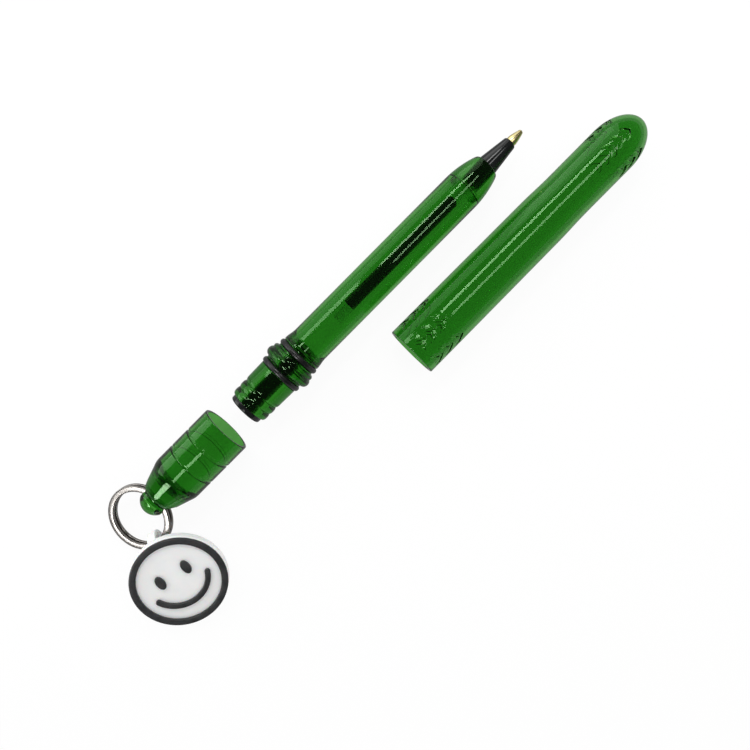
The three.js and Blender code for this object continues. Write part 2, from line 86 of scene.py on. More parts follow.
# The values between which most of a noise lies.
NOISE_RANGE = (0.3, 0.7)

Pair = tuple[float, float]
Triple = tuple[float, float, float]


class Body(Enum):
    """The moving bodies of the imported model."""

    PEN = "pen"
    REFILL = "refill"
    BALL = "ball"
    CAP = "cap"
    END = "end"
    RING = "ring"
    CHARM = "charm"


class Slot(Enum):
    """The names of the finish slots."""

    CLEAR_GREEN = "clear_green"
    BLACK_RUBBER = "black_rubber"
    BLACK_PLASTIC = "black_plastic"
    BRASS = "brass"
    STEEL = "steel"
    CLEAR_TUBE = "clear_tube"
    INK = "ink"
    RING_STEEL = "ring_steel"
    WHITE_VINYL = "white_vinyl"
    BLACK_VINYL = "black_vinyl"


class Change(Enum):
    """What a tool does to a piece."""

    JOIN = "UNION"
    CUT = "DIFFERENCE"


def linear(code: str) -> tuple[float, float, float, float]:
    """Turns an sRGB colour into a linear one.

    Args:
        code: The colour as "#RRGGBB".

    Returns:
        Linear red, green and blue, and an alpha of 1.
    """
    shares = [int(code[i : i + 2], 16) / 255 for i in (1, 3, 5)]
    red, green, blue = (s / 12.92 if s <= 0.04045 else ((s + 0.055) / 1.055) ** 2.4 for s in shares)
    return red, green, blue, 1.0


def pattern_scale(feature: float) -> float:
    """Gives the scale at which a texture in metres has features of a size in millimetres."""
    return 1.0 / (feature * METRES)


def pattern(place: NodeSocket, size: float, detail: float) -> dict[str, Any]:
    """Gives a noise's inputs for features of a size in millimetres, with some finer layers."""
    return {"Vector": place, "Scale": pattern_scale(size), "Detail": detail, "Roughness": 0.55}


def add_node(
    tree: NodeTree,
    kind: str,
    settings: dict[str, Any] | None = None,
    inputs: dict[str | int, Any] | None = None,
) -> Node:
    """Adds a node with its settings and links.

    Args:
        tree: The node tree that gets the node.
        kind: The node's type.
        settings: Properties of the node by name.
        inputs: Values, or sockets to link from, by the input's name or number.

    Returns:
        The new node.
    """
    node = tree.nodes.new(kind)
    for name, value in (settings or {}).items():
        setattr(node, name, value)
    for key, value in (inputs or {}).items():
        if isinstance(value, NodeSocket):
            tree.links.new(value, node.inputs[key])
        else:
            node.inputs[key].default_value = value
    return node


def emptied(owner: Material | World) -> NodeTree:
    """Gives a new material or world an empty node tree.

    Args:
        owner: The material or world.

    Returns:
        The tree.
    """
    owner.use_nodes = True
    owner.node_tree.nodes.clear()
    return owner.node_tree


def by_ray(tree: NodeTree, otherwise: float, mirrored: Any, through: Any, seen: Any) -> NodeSocket:
    """Picks a value by the kind of ray that asks for it.

    Args:
        tree: The tree.
        otherwise: The value for rays that light matt surfaces.
        mirrored: The value or socket for rays that a surface mirrors.
        through: The same for rays that come through a clear piece.
        seen: The same for rays from the camera.

    Returns:
        The picked value.
    """
    path = add_node(tree, "ShaderNodeLightPath").outputs
    picked: Any = otherwise
    for kind, value in (("Glossy", mirrored), ("Transmission", through), ("Camera", seen)):
        values = {"Factor": path[f"Is {kind} Ray"], "A": picked, "B": value}
        picked = add_node(tree, "ShaderNodeMix", {"data_type": "FLOAT"}, values).outputs[0]
    return picked


def started_tree(name: str, inputs: dict[str, str]) -> tuple[NodeTree, dict[str, Any]]:
    """Starts a geometry node tree, with a mesh as its first input and as its output.

    Args:
        name: The tree's name.
        inputs: The kinds of its other inputs by name.

    Returns:
        The tree, and its inputs' sockets by name.
    """
    tree = bpy.data.node_groups.new(name, "GeometryNodeTree")
    for title, kind in {"Geometry": "Geometry", **inputs, "Material": "Material"}.items():
        tree.interface.new_socket(title, in_out="INPUT", socket_type=f"NodeSocket{kind}")
    tree.interface.new_socket("Geometry", in_out="OUTPUT", socket_type="NodeSocketGeometry")
    return tree, {socket.name: socket for socket in add_node(tree, "NodeGroupInput").outputs}


def ended_tree(tree: NodeTree, mesh: NodeSocket, finish: NodeSocket) -> NodeTree:
    """Ends a geometry node tree with real geometry that has its material.

    Args:
        tree: The tree.
        mesh: The geometry.
        finish: The material.

    Returns:
        The tree.
    """
    real = add_node(tree, "GeometryNodeRealizeInstances", {}, {0: mesh}).outputs[0]
    values = {"Geometry": real, "Material": finish}
    coloured = add_node(tree, "GeometryNodeSetMaterial", {}, values).outputs[0]
    add_node(tree, "NodeGroupOutput", {}, {0: coloured})
    return tree


@dataclass(frozen=True)
class Finish:
    """A moulded, opaque surface, and the base of every other finish.

    Its tone and its gloss wander a little between two values, and a fine grain lifts its surface.
    """

    title: str
    colour: str
    second_colour: str
    roughness: Pair
    ior: float
    grain: float
    relief: float
    cloud: float

    def material(self) -> Material:
        """Returns the finish's material, which is made at its first use."""
        return bpy.data.materials.get(self.title) or self.made()

    def made(self) -> Material:
        """Makes the material.

        Returns:
            A new node-based material.
        """
        material = bpy.data.materials.new(self.title)
        tree = emptied(material)
        place = add_node(tree, "ShaderNodeTexCoord").outputs["Object"]
        values = {"IOR": self.ior, **self.surface(tree, place)}
        shader = add_node(tree, "ShaderNodeBsdfPrincipled", {}, values)
        add_node(tree, "ShaderNodeOutputMaterial", {}, {"Surface": shader.outputs[0], **self.inside(tree)})
        return material

    def surface(self, tree: NodeTree, place: NodeSocket) -> dict[str, Any]:
        """Makes the colour, gloss and relief.

        Args:
            tree: The material's nodes.
            place: Object coordinates.

        Returns:
            The principled shader's inputs by name.
        """
        clouds = add_node(tree, NOISE, {}, pattern(place, self.cloud, 3.0)).outputs[0]
        grain = add_node(tree, NOISE, {}, pattern(place, self.grain, 2.0)).outputs[0]
        return self.skin(tree, clouds, grain)

    def inside(self, tree: NodeTree) -> dict[str, Any]:
        """Leaves the inside of an opaque piece without a volume."""
        return {}

    def skin(self, tree: NodeTree, clouds: NodeSocket, height: NodeSocket) -> dict[str, Any]:
        """Lets the colour and the gloss wander with one value, and lifts the surface by another.

        Args:
            tree: The material's nodes.
            clouds: The value for the colour and the gloss, from 0 to 1.
            height: The value for the relief, from 0 to 1.

        Returns:
            The shader's colour, roughness and normal.
        """
        start, end = NOISE_RANGE
        ramp = add_node(tree, "ShaderNodeValToRGB", {}, {0: clouds})
        first, last = ramp.color_ramp.elements
        first.position, first.color = start, linear(self.colour)
        last.position, last.color = end, linear(self.second_colour)
        low, high = self.roughness
        ends = {"Value": clouds, "From Min": start, "From Max": end, "To Min": low, "To Max": high}
        gloss = add_node(tree, "ShaderNodeMapRange", {}, ends)
        sizes = {"Height": height, "Distance": self.relief * METRES, "Strength": 1.0}
        bump = add_node(tree, "ShaderNodeBump", {}, sizes)
        return {"Base Color": ramp.outputs[0], "Roughness": gloss.outputs[0], "Normal": bump.outputs[0]}


@dataclass(frozen=True)
class ClearFinish(Finish):
    """A clear moulded plastic: a tinted surface, and a depth of colour that grows with the wall.

    Its flow marks run along the mould, so they are long and thin, and they make the highlights
    waver a little.
    """

    absorbed: Triple = (0.0, 0.0, 0.0)
    mirror_tint: str = "#FFFFFF"
    flow_stretch: float = 8.0

    def surface(self, tree: NodeTree, place: NodeSocket) -> dict[str, Any]:
        """Makes the tint, the clearness and the flow marks.

        Args:
            tree: The material's nodes.
            place: Object coordinates.

        Returns:
            The principled shader's inputs by name.
        """
        along = Vector((1.0 / self.flow_stretch, 1.0, 1.0))
        stretched = add_node(tree, "ShaderNodeMapping", {}, {"Vector": place, "Scale": along}).outputs[0]
        marks = add_node(tree, NOISE, {}, pattern(stretched, self.cloud, 2.0)).outputs[0]
        ripples = add_node(tree, NOISE, {}, pattern(stretched, self.grain, 1.0)).outputs[0]
        clear = {"Transmission Weight": 1.0, "Specular Tint": linear(self.mirror_tint)}
        return {**self.skin(tree, marks, ripples), **clear}

    def inside(self, tree: NodeTree) -> dict[str, Any]:
        """Fills the wall with its absorption.

        Args:
            tree: The material's nodes.

        Returns:
            The output's volume, or nothing where the plastic has no colour of its own.
        """
        most = max(self.absorbed)
        if most == 0.0:
            return {}
        passed = tuple(1.0 - share / most for share in self.absorbed)
        values = {"Color": (*passed, 1.0), "Density": most / METRES}
        return {"Volume": add_node(tree, "ShaderNodeVolumeAbsorption", {}, values).outputs[0]}


@dataclass(frozen=True)
class MetalFinish(Finish):
    """A bare or plated metal, with fine tool rings across the pen where their spacing isn't zero."""

    ring_spacing: float = 0.0

    def surface(self, tree: NodeTree, place: NodeSocket) -> dict[str, Any]:
        """Makes the metal, its gloss and its tool rings.

        Args:
            tree: The material's nodes.
            place: Object coordinates.

        Returns:
            The principled shader's inputs by name.
        """
        clouds = add_node(tree, NOISE, {}, pattern(place, self.cloud, 3.0)).outputs[0]
        if self.ring_spacing == 0.0:
            height = add_node(tree, NOISE, {}, pattern(place, self.grain, 2.0)).outputs[0]
        else:
            # At a scale of 1, a wave's bands lie a 20th of two pi apart in its coordinate's unit.
            scale = pattern_scale(self.ring_spacing) * math.tau / 20
            values = {"Vector": place, "Scale": scale, "Distortion": 0.4, "Detail": 1.0}
            height = add_node(tree, "ShaderNodeTexWave", {"bands_direction": "X"}, values).outputs["Fac"]
        return {**self.skin(tree, clouds, height), "Metallic": 1.0}


@dataclass(frozen=True)
class VinylFinish(Finish):
    """A soft vinyl: light goes a little way in, so its edges look soft."""

    depth: float = 0.5
    softness: float = 0.15

    def surface(self, tree: NodeTree, place: NodeSocket) -> dict[str, Any]:
        """Adds the softness to the colour, the gloss and the grain."""
        soft = {"Subsurface Weight": self.softness, "Subsurface Scale": self.depth * METRES}
        return {**super().surface(tree, place), **soft}


# Polystyrene, injection moulded and clear: a glossy skin over a wall that deepens its green.
CLEAR_GREEN = ClearFinish(
    title="green_clear_polystyrene_moulded",
    colour="#7ACB6B",
    second_colour="#74C765",
    roughness=(0.035, 0.055),
    ior=1.59,
    grain=1.6,
    relief=0.00015,
    cloud=2.5,
    absorbed=(0.25, 0.1, 0.3),
    mirror_tint="#A9DDA2",
    flow_stretch=20.0,
)

# Polypropylene, moulded black: a satin skin with the mould's fine spark grain.
BLACK_PLASTIC = Finish(
    title="black_polypropylene_moulded",
    colour="#121313",
    second_colour="#181A1A",
    roughness=(0.09, 0.16),
    ior=1.49,
    grain=0.12,
    relief=0.0015,
    cloud=1.6,
)

# Nitrile rubber, compression moulded: a dull black with a greasy sheen.
BLACK_RUBBER = Finish(
    title="black_nitrile_rubber_moulded",
    colour="#0F1010",
    second_colour="#151616",
    roughness=(0.22, 0.34),
    ior=1.52,
    grain=0.1,
    relief=0.006,
    cloud=1.2,
)

# Brass, turned: bright yellow with rings of the tool. The real rings are about 0.02 mm apart, too
# fine to show, so they are drawn 0.09 mm apart.
BRASS = MetalFinish(
    title="brass_turned",
    colour="#FBE79A",
    second_colour="#FDF0B8",
    roughness=(0.24, 0.32),
    ior=1.5,
    grain=0.1,
    relief=0.0008,
    cloud=0.8,
    ring_spacing=0.09,
)

# Steel ball, lapped: a smooth grey mirror.
LAPPED_STEEL = MetalFinish(
    title="steel_ball_lapped",
    colour="#B8B8B6",
    second_colour="#C2C2C0",
    roughness=(0.08, 0.12),
    ior=1.5,
    grain=0.1,
    relief=0.0005,
    cloud=0.3,
)

# Spring steel, nickel plated: a warm grey that is bright on its edges and slightly clouded.
NICKEL_STEEL = MetalFinish(
    title="spring_steel_nickel_plated",
    colour="#94908C",
    second_colour="#A09C98",
    roughness=(0.22, 0.28),
    ior=1.5,
    grain=0.25,
    relief=0.0001,
    cloud=1.1,
)

# Polypropylene tube, extruded and clear: a faint milky skin with drawn lines along it.
CLEAR_TUBE = ClearFinish(
    title="clear_polypropylene_tube_extruded",
    colour="#F1F5F3",
    second_colour="#ECF1EE",
    roughness=(0.02, 0.05),
    ior=1.49,
    grain=0.5,
    relief=0.0002,
    cloud=1.0,
    flow_stretch=25.0,
)

# Ink, a thick liquid that wets the tube: deep black with a wet gloss.
INK = Finish(
    title="black_pen_ink",
    colour="#050506",
    second_colour="#09090B",
    roughness=(0.08, 0.14),
    ior=1.42,
    grain=0.6,
    relief=0.002,
    cloud=2.0,
)

# Soft vinyl, moulded white: a matt skin with a fine grain.
WHITE_VINYL = VinylFinish(
    title="white_soft_vinyl_moulded",
    colour="#F0F1F1",
    second_colour="#F4F4F3",
    roughness=(0.45, 0.58),
    ior=1.53,
    grain=0.18,
    relief=0.008,
    cloud=2.4,
)

# Soft vinyl, moulded dark: nearly black, with a broad satin sheen.
DARK_VINYL = VinylFinish(
    title="dark_soft_vinyl_moulded",
    colour="#262728",
    second_colour="#343536",
    roughness=(0.36, 0.56),
    ior=1.53,
    grain=0.32,
    relief=0.03,
    cloud=1.8,
    depth=0.2,
)


class Line:
    """A line of (station, radius) points in millimetres, which is turned about its axis."""

    # A corner's rounding has this many pieces and reaches over no more than this share of a side.
    ROUNDING_STEPS = 4
    ROUNDING_SHARE = 0.45

    def __init__(self) -> None:
        """Starts an empty line."""
        self.corners: list[Triple] = []

    def to(self, station: float, radius: float, rounding: float = 0.0) -> "Line":
        """Draws the line on to a point, with a rounding that reaches so far from its corner."""
        self.corners.append((station, radius, rounding))
        return self

    def through(self, points: list[Pair]) -> "Line":
        """Draws the line on through points.

        Args:
            points: The (station, radius) points.

        Returns:
            The line.
        """
        for station, radius in points:
            self.to(station, radius)
        return self

    def arch(self, centre: float, width: float, crest: float, root: float, steps: int = 18) -> "Line":
        """Draws half an ellipse that leaves a root radius and comes back to it.

        Args:
            centre: The station of its middle.
            width: Its width along the axis.
            crest: The radius at its middle, above the root for a ridge and below it for a groove.
            root: The radius at its ends.
            steps: How many pieces it has.

        Returns:
            The line.
        """
        for i in range(steps + 1):
            angle = math.pi * (1 - i / steps)
            self.to(centre + width / 2 * math.cos(angle), root + (crest - root) * math.sin(angle))
        return self

    def bend(self, start: Pair, corner: Pair, end: Pair, steps: int = 12) -> "Line":
        """Draws a curve between two points that leans towards a corner.

        Args:
            start: The first point.
            corner: The point that it leans to.
            end: The last point.
            steps: How many pieces it has.

        Returns:
            The line.
        """
        for i in range(steps + 1):
            t = i / steps
            shares = ((1 - t) ** 2, 2 * t * (1 - t), t * t)
            point = [sum(s * p[k] for s, p in zip(shares, (start, corner, end))) for k in (0, 1)]
            self.to(point[0], point[1])
        return self

    def slope(self, start: Pair, end: Pair, steps: int = 12) -> "Line":
        """Draws a smooth change of radius.

        Args:
            start: The first point.
            end: The last point.
            steps: How many pieces it has.

        Returns:
            The line.
        """
        for i in range(steps + 1):
            t = i / steps
            eased = 0.5 - 0.5 * math.cos(math.pi * t)
            self.to(start[0] + (end[0] - start[0]) * t, start[1] + (end[1] - start[1]) * eased)
        return self

    def dome(self, start: float, radius: float, length: float, steps: int = 24) -> "Line":
        """Draws a quarter of an ellipse from a radius down to the axis.

        Args:
            start: The station at which it starts.
            radius: The radius at its start.
            length: Its length along the axis.
            steps: How many pieces it has.

        Returns:
            The line.
        """
        for i in range(steps + 1):
            angle = math.pi / 2 * i / steps
            self.to(start + length * math.sin(angle), 0.0 if i == steps else radius * math.cos(angle))
        return self

    def softened(self, closed: bool) -> list[Pair]:
        """Rounds the corners that ask for it.

        Args:
            closed: Whether the last point joins the first.

        Returns:
            The line's (station, radius) points.
        """
        made: list[Pair] = []
        count = len(self.corners)
        for i, (x, r, rounding) in enumerate(self.corners):
            inner = closed or 0 < i < count - 1
            if rounding == 0.0 or not inner:
                made.append((x, r))
                continue
            here = Vector((x, r))
            ends = []
            for other in (self.corners[i - 1], self.corners[(i + 1) % count]):
                way = Vector(other[:2]) - here
                reach = min(rounding, self.ROUNDING_SHARE * way.length)
                ends.append(here + way.normalized() * reach)
            for k in range(self.ROUNDING_STEPS + 1):
                t = k / self.ROUNDING_STEPS
                point = ends[0] * (1 - t) ** 2 + here * (2 * t * (1 - t)) + ends[1] * t**2
                made.append((point.x, point.y))
        return made


def turned(line: Line, sides: int, closed: bool) -> BMesh:
    """Turns a line about the X axis.

    Args:
        line: The line.
        sides: How many sides the turned shape has.
        closed: Whether the line's last point joins its first.

    Returns:
        The shape in millimetres, its faces outwards.
    """
    shape = bmesh.new()
    rings: list[list[BMVert]] = []
    for x, r in line.softened(closed):
        if r < ON_AXIS:
            rings.append([shape.verts.new((x, 0.0, 0.0))])
            continue
        angles = [math.tau * k / sides for k in range(sides)]
        rings.append([shape.verts.new((x, r * math.cos(a), r * math.sin(a))) for a in angles])
    pairs = list(zip(rings, rings[1:]))
    if closed:
        pairs.append((rings[-1], rings[0]))
    for first, second in pairs:
        if len(first) == 1 and len(second) == 1:
            continue
        for k in range(sides):
            n = (k + 1) % sides
            if len(first) == 1:
                shape.faces.new((first[0], second[n], second[k]))
            elif len(second) == 1:
                shape.faces.new((first[k], first[n], second[0]))
            else:
                shape.faces.new((first[k], first[n], second[n], second[k]))
    return outward(shape)


def outward(shape: BMesh) -> BMesh:
    """Turns every face of a closed shape outwards, with its doubles merged first.

    Args:
        shape: The shape.

    Returns:
        The same shape.
    """
    bmesh.ops.remove_doubles(shape, verts=shape.verts, dist=TOUCHING)
    bmesh.ops.recalc_face_normals(shape, faces=shape.faces)
    if shape.calc_volume(signed=True) < 0:
        bmesh.ops.reverse_faces(shape, faces=shape.faces)
    return shape


def flared_drill(radius: float, half: float, past: Pair, flare: Pair, lean: Pair, steps: int) -> Line:
    """Draws a drill that widens where it leaves what it drills.

    Args:
        radius: The hole's radius.
        half: Half of the length that is drilled.
        past: How far the drill stands out at each end, and how much wider it is there.
        flare: How far inside each end the flare starts, and how much wider it is there.
        lean: How far inside each end the flare leans, and where it is over.
        steps: How many pieces each flare has.

    Returns:
        The line.
    """
    curve = ((-half + flare[0], radius + flare[1]), (-half + lean[0], radius), (-half + lean[1], radius))
    line = Line().to(-half - past[0], 0.0).to(-half - past[0], radius + past[1])
    line.bend(*curve, steps)
    line.bend(*((-x, r) for x, r in reversed(curve)), steps)
    return line.to(half + past[0], radius + past[1]).to(half + past[0], 0.0)


def stacked(outline: Callable[[float], list[Pair]], layers: list[Pair]) -> BMesh:
    """Stacks outlines of one form into a closed solid.

    Args:
        outline: Gives the outline's points for an inset, always the same number.
        layers: The (inset, height) of each layer, from the bottom up.

    Returns:
        The solid in millimetres, its faces outwards.
    """
    shape = bmesh.new()
    loops = [[shape.verts.new((x, y, z)) for x, y in outline(inset)] for inset, z in layers]
    sides = len(loops[0])
    for lower, upper in zip(loops, loops[1:]):
        for k in range(sides):
            n = (k + 1) % sides
            shape.faces.new((lower[k], lower[n], upper[n], upper[k]))
    shape.faces.new(list(reversed(loops[0])))
    shape.faces.new(loops[-1])
    return outward(shape)


def rounded_layers(height: float, rounding: float, steps: int = 5) -> list[Pair]:
    """Gives the layers of a flat solid with round edges.

    Args:
        height: The solid's height.
        rounding: The radius of its edges.
        steps: How many pieces each edge has.

    Returns:
        The (inset, height) of each layer, from the bottom up.
    """
    angles = [math.pi / 2 * i / steps for i in range(steps + 1)]
    lower = [(rounding * (1 - math.sin(a)), rounding * (1 - math.cos(a))) for a in angles]
    return lower + [(inset, height - z) for inset, z in reversed(lower)]


def as_object(name: str, shape: BMesh, place: Matrix) -> Object:
    """Makes an object of a shape, with its place in its mesh.

    Args:
        name: The object's name.
        shape: The shape, which is freed.
        place: Takes the shape's millimetres to the model's metres.

    Returns:
        The new object, at the origin.
    """
    mesh = bpy.data.meshes.new(name)
    shape.to_mesh(mesh)
    shape.free()
    mesh.transform(place)
    piece = bpy.data.objects.new(name, mesh)
    bpy.context.scene.collection.objects.link(piece)
    return piece


def evaluated(piece: Object) -> Object:
    """Turns a piece and its modifiers into a plain mesh, and removes the modifiers.

    Args:
        piece: The piece.

    Returns:
        The same piece.
    """
    bpy.context.view_layer.update()
    graph = bpy.context.evaluated_depsgraph_get()
    made = bpy.data.meshes.new_from_object(piece.evaluated_get(graph))
    piece.modifiers.clear()
    piece.data = made
    return piece


def changed(piece: Object, tool: Object, change: Change) -> Object:
    """Joins a tool to a piece or cuts it out of it, and deletes the tool.

    Args:
        piece: The piece.
        tool: The closed solid that is joined or cut out.
        change: Which of the two.

    Returns:
        The piece, with a plain mesh.
    """
    step = piece.modifiers.new(change.name.lower(), "BOOLEAN")
    step.object = tool
    step.operation = change.value
    step.solver = "EXACT"
    evaluated(piece)
    bpy.data.objects.remove(tool)
    return piece


def put(x: float, y: float, z: float, turn: float = 0.0) -> Matrix:
    """Gives a place in metres, turned about Z by degrees, for a shape in millimetres."""
    about_z = Matrix.Rotation(math.radians(turn), 4, "Z")
    return Matrix.Translation((x, y, z)) @ about_z @ Matrix.Scale(METRES, 4)


def dressed(
    piece: Object, finish: Finish, body: Body, node: str, sharp: float = 35.0
) -> Object:
    """Shades a piece, gives it its finish and puts it in a node's place.

    Args:
        piece: The piece.
        finish: What it is made of.
        body: The body that it rides on.
        node: The CAD node that it stands for.
        sharp: The angle in degrees from which an edge stays sharp.

    Returns:
        The piece.
    """
    mesh = piece.data
    mesh.shade_smooth()
    mesh.set_sharp_from_angle(angle=math.radians(sharp))
    mesh.materials.clear()
    mesh.materials.append(finish.material())
    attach(piece, body.value)
    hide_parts(node)
    return piece


class TurnedPart:
    """A sub-assembly that is turned about one axis. Its stations run from a CAD node's rear face."""

    node = "tail_plug"

    def place(self) -> Matrix:
        """Puts the middle of the node's rear face at the origin of stations."""
        low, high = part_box(self.node)
        return put(low.x, (low.y + high.y) / 2, (low.z + high.z) / 2)

    def lathe(self, name: str, line: Line, sides: int, closed: bool = True) -> Object:
        """Makes a turned piece in its place. A closed line's last point joins its first."""
        return as_object(name, turned(line, sides, closed), self.place())


@dataclass
class Barrel(TurnedPart):
    """The green barrel with its two seals and its tail plug. Stations run from the tail face."""

    stub_start: float = 1.35
    snap_ridges: tuple[Triple, ...] = ((2.35, 1.9, 9.5), (4.3, 2.0, 9.6))
    snap_root: float = 8.9
    stub_from: float = 5.9
    stub_diameters: Pair = (9.6, 9.8)
    stub_lead: Pair = (0.3, 0.15)
    stub_end: float = 10.925
    seal_groove: float = 1.55
    flange_end: float = 16.475
    flange_root: float = 9.9
    flange_ridges: tuple[Triple, ...] = ((14.05, 2.5, 12.2), (15.5, 1.4, 11.4))
    flange_steps: int = 56
    collar: float = 10.05
    collar_lead: Pair = (0.2, 0.12)
    collar_end: float = 21.2
    diameter: float = 9.38
    shoulder_start: float = 69.0
    shoulder_edge: float = 76.7
    edge_diameter: float = 6.9
    front: float = 77.5
    front_diameter: float = 5.9
    front_rounding: float = 0.25
    wall: float = 0.7
    bore_tapers: Pair = (0.9, 1.2)
    front_bore_depth: float = 6.4
    stem_bore: float = 4.26
    front_bore: float = 4.46
    plug_end: float = 18.9
    stem_past_bore: float = 0.6
    plug_head: Pair = (8.1, 1.3)
    plug_stem: float = 4.1
    plug_rounding: float = 0.5
    seal_section: float = 1.45
    seal_outer: float = 10.7
    seal_gap: float = 0.05
    seal_steps: int = 28
    crisp: float = 0.1
    crisper: float = 0.08

    def flange_line(self) -> list[Pair]:
        """Gives the higher of the flange's two ridges at every station.

        Returns:
            The crest's (station, radius) points.
        """
        root = self.flange_root / 2

        def height(ridge: Triple, x: float) -> float:
            """Gives the height above the root of a (centre, width, crest diameter) ridge."""
            t = 2 * (x - ridge[0]) / ridge[1]
            return (ridge[2] / 2 - root) * math.sqrt(1 - t * t) if abs(t) < 1 else 0.0

        first = self.flange_ridges[0][0] - self.flange_ridges[0][1] / 2
        last = self.flange_ridges[1][0] + self.flange_ridges[1][1] / 2
        middle, half = (first + last) / 2, (last - first) / 2
        count = self.flange_steps
        stations = [middle - half * math.cos(math.pi * i / count) for i in range(count + 1)]
        return [(x, root + max(height(ridge, x) for ridge in self.flange_ridges)) for x in stations]

    def shell(self) -> Object:
        """Makes the barrel's moulding with its bores.

        Returns:
            The barrel.
        """
        groove = self.seal_outer / 2 - self.seal_section - self.seal_gap
        body = self.diameter / 2
        bore = body - self.wall
        edge = self.edge_diameter / 2
        flange_start = self.stub_end + self.seal_groove
        grip = self.flange_end + self.seal_groove
        root = self.snap_root / 2
        line = Line().to(self.stub_start, root, 0.15)
        for centre, width, diameter in self.snap_ridges:
            line.arch(centre, width, diameter / 2, root)
        run, rise = self.stub_lead
        line.to(self.stub_from - run, self.stub_diameters[0] / 2 - rise, self.crisp)
        line.to(self.stub_from, self.stub_diameters[0] / 2, run)
        line.to(self.stub_end, self.stub_diameters[1] / 2, 0.12)
        line.to(self.stub_end, groove, self.crisp).to(flange_start, groove, self.crisp)
        line.to(flange_start, self.flange_root / 2, self.crisper)
        line.through(self.flange_line())
        line.to(self.flange_end, self.flange_root / 2, self.crisper)
        line.to(self.flange_end, groove, self.crisp).to(grip, groove, self.crisp)
        run, rise = self.collar_lead
        line.to(grip, self.collar / 2 - rise, self.crisp)
        line.slope((grip + run, self.collar / 2), (self.collar_end, body), 16)
        line.bend(
            (self.shoulder_start, body),
            ((self.shoulder_start + self.shoulder_edge) / 2, body),
            (self.shoulder_edge, edge),
            20,
        )
        line.bend(
            (self.shoulder_edge + 0.02, edge - 0.01),
            (self.front, edge - self.front_rounding),
            (self.front, self.front_diameter / 2),
            8,
        )
        line.to(self.front, self.front_bore / 2, self.crisper)
        narrow = self.front - self.front_bore_depth
        line.slope((narrow, self.front_bore / 2), (narrow - self.bore_tapers[1], bore), 20)
        stem_end = self.plug_end - self.stem_past_bore
        line.slope((stem_end + self.bore_tapers[0], bore), (stem_end, self.stem_bore / 2), 20)
        line.to(self.stub_start, self.stem_bore / 2, self.crisp)
        return self.lathe("barrel_moulding", line, ROUND_SIDES)

    def plug(self) -> Object:
        """Makes the black tail plug with its stem.

        Returns:
            The plug.
        """
        head, length = self.plug_head[0] / 2, self.plug_head[1]
        stem = self.plug_stem / 2
        line = Line().to(0.0, 0.0).to(0.0, 0.6)
        line.to(0.0, head, self.plug_rounding).to(length, head, self.crisp).to(length, stem, self.crisp)
        line.to(self.plug_end, stem, self.plug_rounding).to(self.plug_end, 0.0)
        return self.lathe("tail_plug_moulding", line, SMALL_SIDES, False)

    def seal(self, name: str, groove_start: float) -> Object:
        """Makes one rubber ring with a round section.

        Args:
            name: The ring's name.
            groove_start: Where its groove starts.

        Returns:
            The ring.
        """
        half = self.seal_section / 2
        middle = self.seal_outer / 2 - half
        centre = groove_start + self.seal_groove / 2
        angles = [math.tau * k / self.seal_steps for k in range(self.seal_steps)]
        circle = [(centre + half * math.cos(a), middle + half * math.sin(a)) for a in angles]
        return self.lathe(name, Line().through(circle), ROUND_SIDES)

    def build(self) -> list[Object]:
        """Builds and dresses the barrel, its seals and its plug.

        Returns:
            The pieces.
        """
        rear = self.seal("rear_seal_ring", self.stub_end)
        front = self.seal("front_seal_ring", self.flange_end)
        return [
            dressed(self.shell(), CLEAR_GREEN, Body.PEN, "barrel"),
            dressed(rear, BLACK_RUBBER, Body.PEN, "rear_o_ring"),
            dressed(front, BLACK_RUBBER, Body.PEN, "front_o_ring"),
            dressed(self.plug(), BLACK_PLASTIC, Body.PEN, "tail_plug"),
        ]


